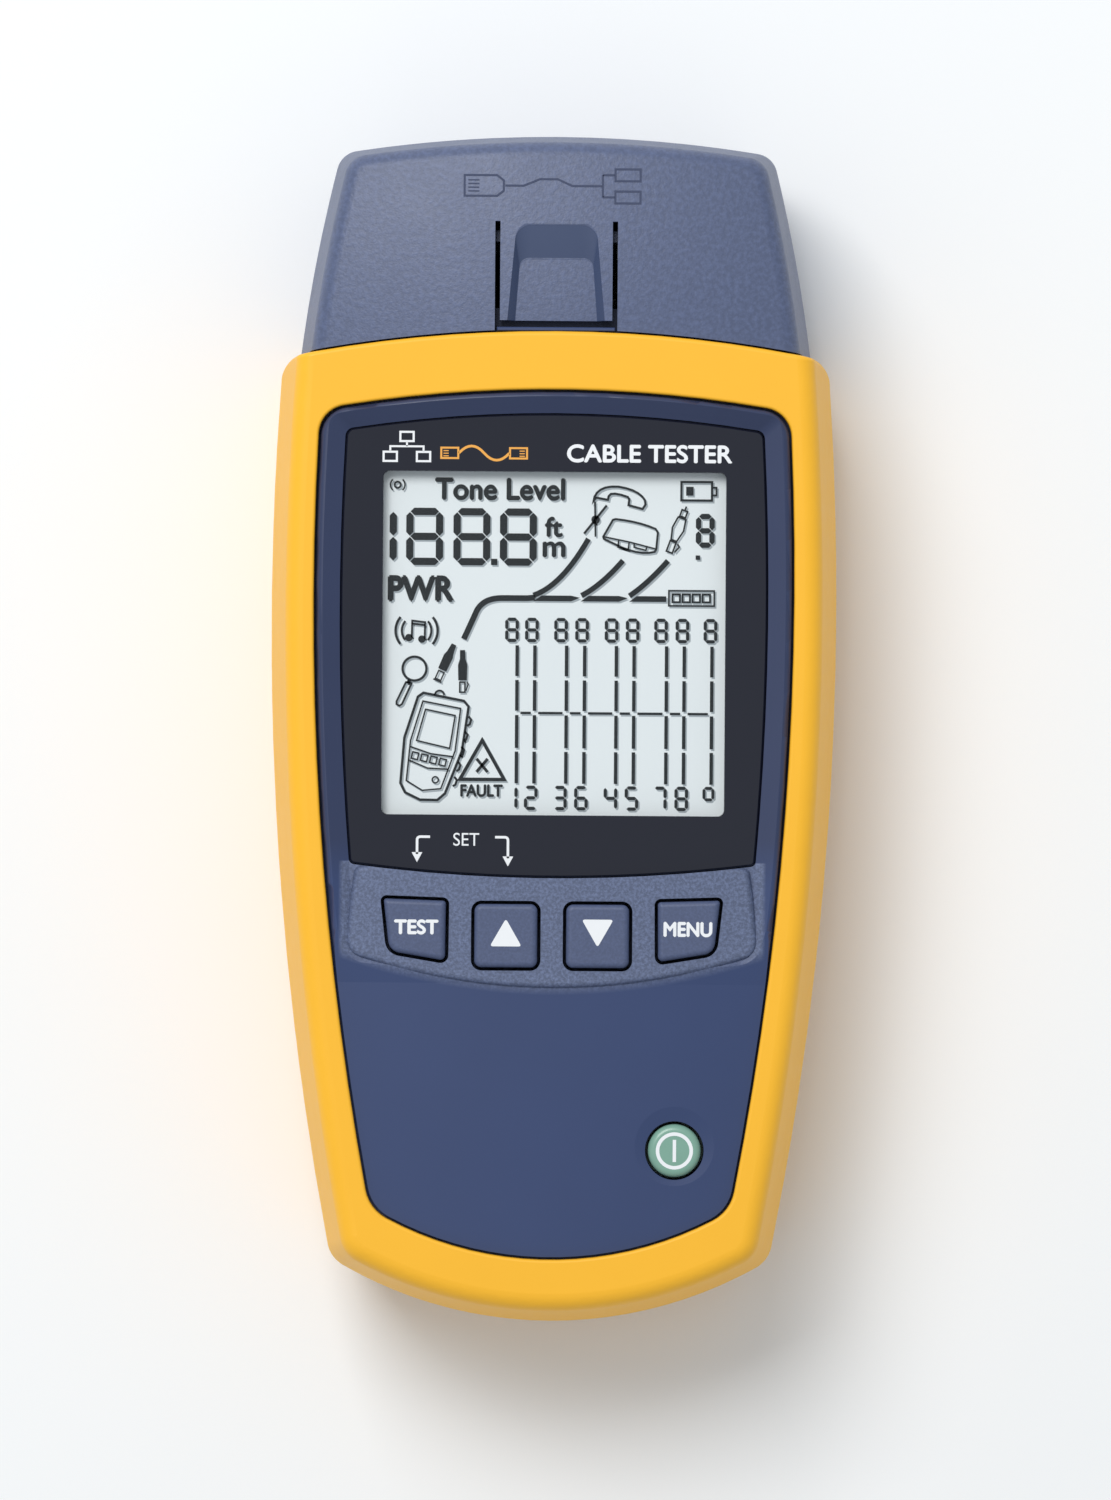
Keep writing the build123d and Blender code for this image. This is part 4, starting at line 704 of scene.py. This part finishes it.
def cable_tree():
    """Main run with three branches that curve up towards the far-end icons."""
    run_v, half = 17.1, 0.38
    rise = [(11.0, 22.7), (12.4, 19.6)] + curve_points((12.7, 18.9), (13.6, 17.1), (16.2, run_v))
    display.stroke(rise + [(19.6, run_v), (20.6, run_v - 0.1)], CABLE_LINE)
    for start, end in ((20.6, 26.7), (27.0, 33.2)):
        display.plate([(start + 0.9, run_v - half), (end - 1.2, run_v - half), (end, run_v - 0.1),
                       (end - 1.2, run_v + half), (start - 0.2, run_v + half)])
    display.plate([(34.4, run_v - half), (38.4, run_v - half), (38.4, run_v + half), (33.4, run_v + half)])
    for start, control, end in (
        ((20.4, 16.7), (24.2, 15.4), (27.8, 9.0)),
        ((26.9, 16.7), (29.6, 15.3), (32.5, 11.9)),
        ((33.4, 16.7), (35.8, 15.1), (38.6, 11.9)),
    ):
        display.stroke(curve_points(start, control, end, 14), 0.72)


def plug_pair():
    """The two plugs at the near end of the cable: coaxial on the left, modular on the right."""
    pivot, angle = (8.6, 25.8), 24
    body = [(8.3, 23.2), (8.95, 23.2), (9.1, 24.4), (9.25, 25.0), (9.2, 27.0), (8.0, 27.0), (7.95, 25.0),
            (8.15, 24.4)]
    collar = [(8.2, 27.25), (9.0, 27.25), (9.0, 28.4), (8.2, 28.4)]
    display.plate(leaning(body, pivot, angle))
    display.stroke(leaning(collar, pivot, angle), 0.18, closed=True)
    display.stroke(leaning([(8.0, 28.6), (9.2, 28.6)], pivot, angle), 0.2)
    display.plate([(10.5, 24.2), (11.2, 24.2), (11.25, 25.4), (11.5, 26.2), (11.45, 28.3), (10.3, 28.3),
                   (10.25, 26.2), (10.5, 25.4)])
    display.stroke([(10.5, 28.55), (11.2, 28.55), (11.2, 29.9), (10.5, 29.9)], 0.2, closed=True)
    display.stroke([(11.45, 28.5), (11.65, 28.8), (11.35, 29.7)], 0.18)


def handset_icon():
    """Outline of a telephone handset."""
    outline = (
        curve_points((28.4, 4.0), (28.7, 1.7), (31.8, 1.9), 6)
        + curve_points((31.8, 1.9), (34.6, 2.3), (35.4, 3.7), 5)[1:]
        + [(35.5, 4.3), (35.1, 4.9), (33.2, 4.4), (33.3, 3.6)]
        + curve_points((33.1, 3.3), (31.5, 2.7), (30.8, 2.9), 3)
        + [(30.5, 3.2), (30.4, 3.7), (28.8, 3.4)]
    )
    display.stroke(outline, ICON_LINE, closed=True)


def splice_icon():
    """Crossed wires on a dot."""
    display.stroke([(28.65, 3.95), (28.75, 8.7)], 0.24)
    display.stroke([(30.25, 4.45), (27.2, 8.3)], 0.3)
    display.disc((28.75, 6.4), 0.58)


def outlet_icon():
    """Box with two ports, seen from above."""
    outline = (
        [(31.1, 6.4), (31.5, 6.3)]
        + curve_points((31.5, 6.3), (34.6, 6.6), (36.9, 7.6), 5)[1:]
        + [(37.2, 8.1), (37.0, 10.3)]
        + curve_points((36.8, 10.7), (34.5, 11.3), (31.2, 9.6), 6)
        + [(29.9, 9.0), (29.8, 8.7)]
    )
    display.stroke(outline, 0.28, closed=True)
    display.stroke([(29.9, 8.7), (33.4, 9.4), (36.9, 10.3)], THIN_LINE)
    display.stroke([(31.9, 9.2), (31.8, 10.1), (33.2, 10.4), (33.3, 9.5)], THIN_LINE)
    display.stroke([(34.0, 9.6), (34.0, 10.1), (35.6, 10.5), (35.7, 10.1)], THIN_LINE)


def far_plug_icon():
    """Slim plug with its tip up, on the rightmost branch."""
    pivot = (39.75, 8.1)
    angle = 20
    for points, closed in (
        ([(39.2, 6.0), (40.3, 6.0), (40.55, 7.6), (40.15, 9.2), (39.35, 9.2), (38.95, 7.6)], True),
        ([(39.35, 4.9), (40.15, 4.9), (40.15, 5.8), (39.35, 5.8)], True),
        ([(39.75, 4.3), (39.75, 4.8)], False),
        ([(39.3, 9.4), (40.15, 9.4), (40.15, 10.9), (39.3, 10.9)], True),
        ([(40.4, 9.5), (40.75, 9.8), (40.4, 10.7)], False),
    ):
        display.stroke(leaning(points, pivot, angle), 0.22, closed)


def battery_icon():
    """Battery with one bar left."""
    display.frame(40.35, 1.2, 4.15, 2.5, ICON_LINE)
    display.stroke([(44.6, 1.95), (45.1, 1.95), (45.1, 3.0), (44.6, 3.0)], 0.26)
    display.box(41.0, 1.85, 1.0, 1.2)


def hub_icon():
    """Box with a row of four sockets."""
    display.frame(38.75, 15.95, 6.15, 2.05, 0.22)
    for index in range(4):
        display.frame(39.25 + 1.36 * index, 16.45, 1.0, 1.05, 0.26)


# The wire map: columns of digits, broken lines and the wire numbers below them
COLUMNS = (16.6, 19.3, 23.25, 26.1, 30.1, 32.95, 36.8, 39.7, 43.5)
LINES = (18.25, 20.65, 24.95, 27.4, 31.7, 34.1, 38.5, 40.9, 44.65)
NUMBERS = ("bc", "abged", "abgcd", "afgedc", "fgbc", "afgcd", "abc", "abcdefg", "afgb")
LINE_ROWS = ((23.5, 27.65), (28.2, 32.35), (32.95, 37.4), (37.9, 42.2))
CROSS_V = 32.65


def wire_map():
    """Nine columns of digits over lines, joined by short bars across the middle."""
    for index, (u, line_u, lit) in enumerate(zip(COLUMNS, LINES, NUMBERS)):
        display.segments(u, 19.75, 1.85, 3.3, 0.44)
        for low, high in LINE_ROWS:
            display.box(line_u - WIRE_LINE / 2, low, WIRE_LINE, high - low)
        if index < len(LINES) - 1:
            display.box(line_u + 0.5, CROSS_V - 0.16, LINES[index + 1] - line_u - 1.0, 0.32)
        # the sign under the last column is narrower and taller than the other eight
        if index == len(LINES) - 1:
            display.segments(u, 42.5, 1.6, 3.5, 0.4, lit)
        else:
            display.segments(u, 42.5, 1.85, 3.3, 0.44, lit)


def display_words():
    """Plain words and units on the display."""
    display.word("Tone Level", 7.1, 0.95, 2.8, width=17.4, bold=0.13)
    display.word("ft", 22.0, 6.15, 2.55, width=2.2, bold=0.11)
    display.word("m", 21.7, 9.5, 1.9, width=2.9, bold=0.11)
    display.word("PWR", 0.85, 14.3, 3.2, width=8.6, bold=0.2)
    display.word("FAULT", 10.75, 42.45, 1.55, width=5.6, bold=0.08)


def single_digit():
    """Single digit with a point, right of the far-end icons."""
    display.segments(42.35, 5.5, 2.55, 4.6, 0.72)
    display.box(42.35, 11.15, 0.6, 0.6)


for draw in (
    broadcast_icon,
    main_digits,
    tone_icon,
    magnifier_icon,
    meter_icon,
    fault_icon,
    cable_tree,
    plug_pair,
    handset_icon,
    splice_icon,
    outlet_icon,
    far_plug_icon,
    battery_icon,
    hub_icon,
    wire_map,
    display_words,
    single_digit,
):
    draw()
display.solid("display_segments", *SEGMENT_Z, SEGMENT, "tester", "display_glass")
# The same drawing again in pale grey, lower and shifted: painted shadows of the segments on the reflector
display.solid("display_segment_painted_shadows", *PAINTED_SHADOW_Z, SEGMENT_PAINTED_SHADOW, "tester", "display_glass", PAINTED_SHADOW_SHIFT)


# ======================================================================= lens
LENS_TOP_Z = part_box("display_lens")[1].z / MM
WINDOW_CORNER = 0.9
# The cutter of the window runs well past both faces of the lens
OPENING_Z = (30.0, 36.0)
PANE_GAP = 0.02
PANE_THICKNESS = 0.8
PANE_DROP = 0.02


def rounded_block(name, width, height, corner, low, high, centre):
    """Rectangular block with round vertical corners."""
    shape = bmesh.new()
    points = []
    for cx, cy, start in ((1, 1, 0), (-1, 1, 90), (-1, -1, 180), (1, -1, 270)):
        for step in range(9):
            angle = radians(start + 90 * step / 8)
            points.append((
                centre[0] + cx * (width / 2 - corner) + corner * cos(angle),
                centre[1] + cy * (height / 2 - corner) + corner * sin(angle),
            ))
    face = shape.faces.new([shape.verts.new((x * MM, y * MM, low * MM)) for x, y in points])
    grown = bmesh.ops.extrude_face_region(shape, geom=[face])
    lifted = [v for v in grown["geom"] if isinstance(v, bmesh.types.BMVert)]
    bmesh.ops.translate(shape, vec=(0, 0, (high - low) * MM), verts=lifted)
    bmesh.ops.recalc_face_normals(shape, faces=shape.faces)
    mesh = bpy.data.meshes.new(name)
    shape.to_mesh(mesh)
    shape.free()
    block = bpy.data.objects.new(name, mesh)
    bpy.context.scene.collection.objects.link(block)
    return block


def cut_copy(name, node, cutter):
    """Copy of a CAD node with a cutter taken away from it."""
    piece = bpy.data.objects.new(name, NODES[node].data.copy())
    bpy.context.scene.collection.objects.link(piece)
    cut = piece.modifiers.new("cut", "BOOLEAN")
    cut.operation = "DIFFERENCE"
    cut.solver = "EXACT"
    cut.object = cutter
    bpy.context.view_layer.update()
    mesh = final_mesh(piece)
    piece.modifiers.clear()
    piece.data = mesh
    return piece


opening = rounded_block("opening", VIEW_W, VIEW_H, WINDOW_CORNER, *OPENING_Z, (0, VIEW_CENTRE_Y))
border = cut_copy("lens_border", "display_lens", opening)
border.data.materials.clear()
border.data.materials.append(SLOT_MATERIALS["clear_lens_plastic"])
bpy.data.objects.remove(opening)
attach(border, "tester")
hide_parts("display_lens")

pane = rounded_block(
    "lens_window",
    VIEW_W - PANE_GAP,
    VIEW_H - PANE_GAP,
    WINDOW_CORNER,
    LENS_TOP_Z - PANE_THICKNESS,
    LENS_TOP_Z - PANE_DROP,
    (0, VIEW_CENTRE_Y),
)
soften = pane.modifiers.new("edge", "BEVEL")
soften.width = 0.05 * MM
soften.segments = 2
soften.limit_method = "ANGLE"
pane.data.materials.append(WINDOW)
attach(pane, "tester")

PRINT_Z = (LENS_TOP_Z + 0.002, LENS_TOP_Z + 0.02)


def lens_print():
    """Generic marks on the border: a network glyph, a plain description, a cable and the key hint."""
    white = Drawing()
    # three linked boxes stand for a network
    left, top = -23.2, -40.0
    for u, v in ((2.25, 0.0), (0.0, 2.7), (4.5, 2.7)):
        white.frame(left + u, top + v, 1.8, 1.25, 0.28)
    white.stroke([(left + 3.15, top + 1.35), (left + 3.15, top + 1.95)], 0.26)
    white.stroke([(left + 0.9, top + 2.6), (left + 0.9, top + 1.95), (left + 5.4, top + 1.95),
                  (left + 5.4, top + 2.6)], 0.26)
    white.word("CABLE TESTER", 1.7, -38.4, 2.3, width=22.2, bold=0.09)
    white.word("SET", -13.4, 14.2, 1.75, width=3.5)
    # arrows from the word down to the two keys below it
    shaft_v = 14.75
    for tip_u, side, tip_v in ((-18.3, 1, 18.2), (-6.0, -1, 18.7)):
        bend = curve_points((tip_u + side * 0.5, shaft_v), (tip_u, shaft_v), (tip_u, 15.2), 5)
        white.stroke([(tip_u + side * 1.75, shaft_v)] + bend + [(tip_u, tip_v - 1.1)], 0.34)
        white.plate([(tip_u - 0.72, tip_v - 1.35), (tip_u + 0.72, tip_v - 1.35), (tip_u, tip_v)])
    white.solid("lens_print_white", *PRINT_Z, WHITE, "tester", "white_plastic")
    # cable with a plug on each end
    orange = Drawing()
    plug_u, plug_v = -15.4, -37.2
    for start, way in ((plug_u, 1), (plug_u + 11.6, -1)):
        orange.frame(start, plug_v - 0.7, way * 2.3, 1.4, 0.26)
        for row in (-0.3, 0.05, 0.4):
            orange.stroke([(start + way * 0.3, plug_v + row), (start + way * 1.0, plug_v + row)], 0.14)
    crest = curve_points((plug_u + 2.4, plug_v), (plug_u + 4.1, plug_v - 1.9), (plug_u + 5.8, plug_v), 8)
    dip = curve_points((plug_u + 5.8, plug_v), (plug_u + 7.5, plug_v + 1.9), (plug_u + 9.2, plug_v), 8)
    orange.stroke(crest + dip[1:], 0.34)
    orange.solid("lens_print_orange", *PRINT_Z, ORANGE, "tester", "yellow_elastomer")


lens_print()


# ======================================================================= key legends
def triangle(drawing, x, y, width, height):
    """Triangle pointing up (height > 0) or down (height < 0), with rounded corners."""
    corner = 0.45
    corners = [Vector((x, y + height / 2)), Vector((x - width / 2, y - height / 2)),
               Vector((x + width / 2, y - height / 2))]
    points = []
    for index, here in enumerate(corners):
        into = (here - corners[index - 1]).normalized()
        out = (corners[(index + 1) % 3] - here).normalized()
        before, after = here - into * corner, here + out * corner
        for point in curve_points(tuple(before), tuple(here), tuple(after), 4):
            points.append((point[0], -point[1]))
    drawing.plate(points)


# Heights of the legends' two faces above the tops of their keys
LEGEND_LIFT = (0.002, 0.03)


def print_legend(legend, key):
    """White legend on the top of a key, moving with it."""
    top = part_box(key)[1].z / MM
    low, high = [top + lift for lift in LEGEND_LIFT]
    legend.solid(key + "_legend", low, high, WHITE, key, "white_plastic")


def key_legends():
    """Words on the outer keys, arrows on the middle ones and a power sign."""
    for key, text, x, y, width in (
        ("port_key", "TEST", -18.3, -26.0, 5.8),
        ("mode_key", "MENU", 18.4, -26.1, 6.4),
    ):
        legend = Drawing()
        legend.word(text, x, -y, 1.85, width=width, bold=0.1, align="CENTRE")
        print_legend(legend, key)
    for key, x, y, height in (("up_key", -6.2, -27.6, 3.75), ("down_key", 6.2, -27.65, -3.75)):
        legend = Drawing()
        triangle(legend, x, y, 4.3, height)
        print_legend(legend, key)
    low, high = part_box("power_key")
    centre = ((low.x + high.x) / 2 / MM, -(low.y + high.y) / 2 / MM)
    legend = Drawing()
    legend.ring(centre, 2.28, 0.48, steps=48)
    legend.stroke([(centre[0], centre[1] - 1.5), (centre[0], centre[1] + 1.5)], 0.46)
    print_legend(legend, "power_key")


key_legends()


# ======================================================================= adapter details
CAP_TOP_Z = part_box("adapter_front_shell")[1].z / MM
TAB_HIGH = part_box("latch_tab")[1]
TAB_HALF_X = TAB_HIGH.x / MM
TAB_ROOT_Y = TAB_HIGH.y / MM


def adapter_marks():
    """Shallow outline marks on the moulding: a plug and its cable, which forks to two boxes. Their darker
    colour is painted shade, standing in for the shade in the moulded lines.
    """
    marks = Drawing()
    left, row, line = -12.5, -73.4, 0.26
    plug = [(left, row - 1.4), (left + 4.4, row - 1.4), (left + 5.3, row - 0.7), (left + 5.3, row + 0.7),
            (left + 4.4, row + 1.4), (left, row + 1.4)]
    marks.stroke(plug, line, closed=True)
    for index in range(4):
        v = row - 0.75 + 0.5 * index
        marks.stroke([(left + 0.5, v), (left + 2.0, v)], 0.16)
    cable = [(left + 5.5, row), (left + 8.0, row), (left + 10.2, row - 0.9), (left + 12.6, row - 0.9),
             (left + 14.6, row), (left + 18.6, row)]
    marks.stroke(cable, line)
    for u, v in ((20.4, -2.3), (20.4, 0.7)):
        marks.frame(left + u, row + v, 3.4, 1.6, line)
        marks.stroke([(left + 18.7, row + v + 0.8), (left + 20.3, row + v + 0.8)], line)
    marks.stroke([(left + 18.7, row - 1.5), (left + 18.7, row + 1.5)], line)
    low, high = CAP_TOP_Z - 0.02, CAP_TOP_Z + 0.05
    # Darker blue for the marks: painted shade of the moulded lines
    finish = moulded("blue adapter mark painted shade", srgb(54, 64, 94), 0.6, grain=0.3, depth=0.02)
    marks.solid("adapter_marks", low, high, finish, "adapter", "blue_adapter_plastic")


def latch_hinge():
    """Flush strip over the root of the latch, where the tab bends out of the shell."""
    strip = Drawing()
    strip.stroke([(-TAB_HALF_X, -TAB_ROOT_Y), (TAB_HALF_X, -TAB_ROOT_Y)], 0.5)
    low, high = CAP_TOP_Z - 0.03, CAP_TOP_Z + 0.006
    finish = SLOT_MATERIALS["blue_adapter_plastic"]
    strip.solid("latch_hinge", low, high, finish, "adapter", "blue_adapter_plastic")


adapter_marks()
latch_hinge()


# ======================================================================= stage, light and camera
# Just under the part, so that the two do not lie in one plane
FLOOR_Z_M = -0.00005
FLOOR_REACH_M = 1.6


def floor():
    """Pale matt sheet under the tester."""
    shape = bmesh.new()
    bmesh.ops.create_grid(shape, x_segments=8, y_segments=8, size=FLOOR_REACH_M)
    mesh = bpy.data.meshes.new("floor")
    shape.to_mesh(mesh)
    shape.free()
    plane = bpy.data.objects.new("floor", mesh)
    plane.location.z = FLOOR_Z_M
    bpy.context.scene.collection.objects.link(plane)
    s = Shader("floor")
    tone = s.mix(s.noise(60.0), (0.925, 0.935, 0.945, 1), (0.94, 0.95, 0.96, 1))
    s.link(tone, s.bsdf.inputs["Base Color"])
    s.set(Roughness=0.9, Specular_IOR_Level=0.1)
    plane.data.materials.append(s.material)


def area_light(name, direction, distance, size, power, colour):
    """Square lamp that faces the origin; distance and size in metres, power in watts."""
    light = bpy.data.lights.new(name, "AREA")
    light.shape = "SQUARE"
    light.size = size
    light.energy = power
    light.color = colour
    lamp = bpy.data.objects.new(name, light)
    lamp.location = Vector(direction).normalized() * distance
    lamp.rotation_euler = Vector(direction).to_track_quat("Z", "Y").to_euler()
    bpy.context.scene.collection.objects.link(lamp)


LAMP_DIRECTION = (-0.28, 0.50, 0.83)
LAMP_DISTANCE_M = 1.35
LAMP_SIZE_M = 0.68
LAMP_POWER = 12.5
LAMP_COLOUR = (1.0, 0.99, 0.97)
SKY_COLOUR = (0.90, 0.955, 1.0, 1)
SKY_STRENGTH = 0.53
floor()
area_light("key_light", LAMP_DIRECTION, LAMP_DISTANCE_M, LAMP_SIZE_M, LAMP_POWER, LAMP_COLOUR)
world = bpy.data.worlds.new("studio")
world.use_nodes = True
background = world.node_tree.nodes["Background"]
background.inputs["Color"].default_value = SKY_COLOUR
background.inputs["Strength"].default_value = SKY_STRENGTH
bpy.context.scene.world = world
bpy.context.scene.view_settings.view_transform = "Standard"

CAMERA_HEIGHT_M = 1.12
FACE_HEIGHT_M = 0.0346
FRAME_WIDTH_AT_FACE_M = 0.1502
IMAGE_ASPECT = 1500 / 1111
SENSOR = 36.0
CAMERA_CENTRE_M = (0.00034, -0.0029)
CAMERA_ROLL_DEGREES = 0.41

camera_data = bpy.data.cameras.new("camera")
camera_data.sensor_width = SENSOR
reach = CAMERA_HEIGHT_M - FACE_HEIGHT_M
camera_data.lens = SENSOR * reach / (FRAME_WIDTH_AT_FACE_M * IMAGE_ASPECT)
camera_data.clip_start = 0.01
camera_data.clip_end = 10
camera = bpy.data.objects.new("camera", camera_data)
camera.location = (*CAMERA_CENTRE_M, CAMERA_HEIGHT_M)
camera.rotation_euler = (0, 0, radians(CAMERA_ROLL_DEGREES))
bpy.context.scene.collection.objects.link(camera)
bpy.context.scene.camera = camera
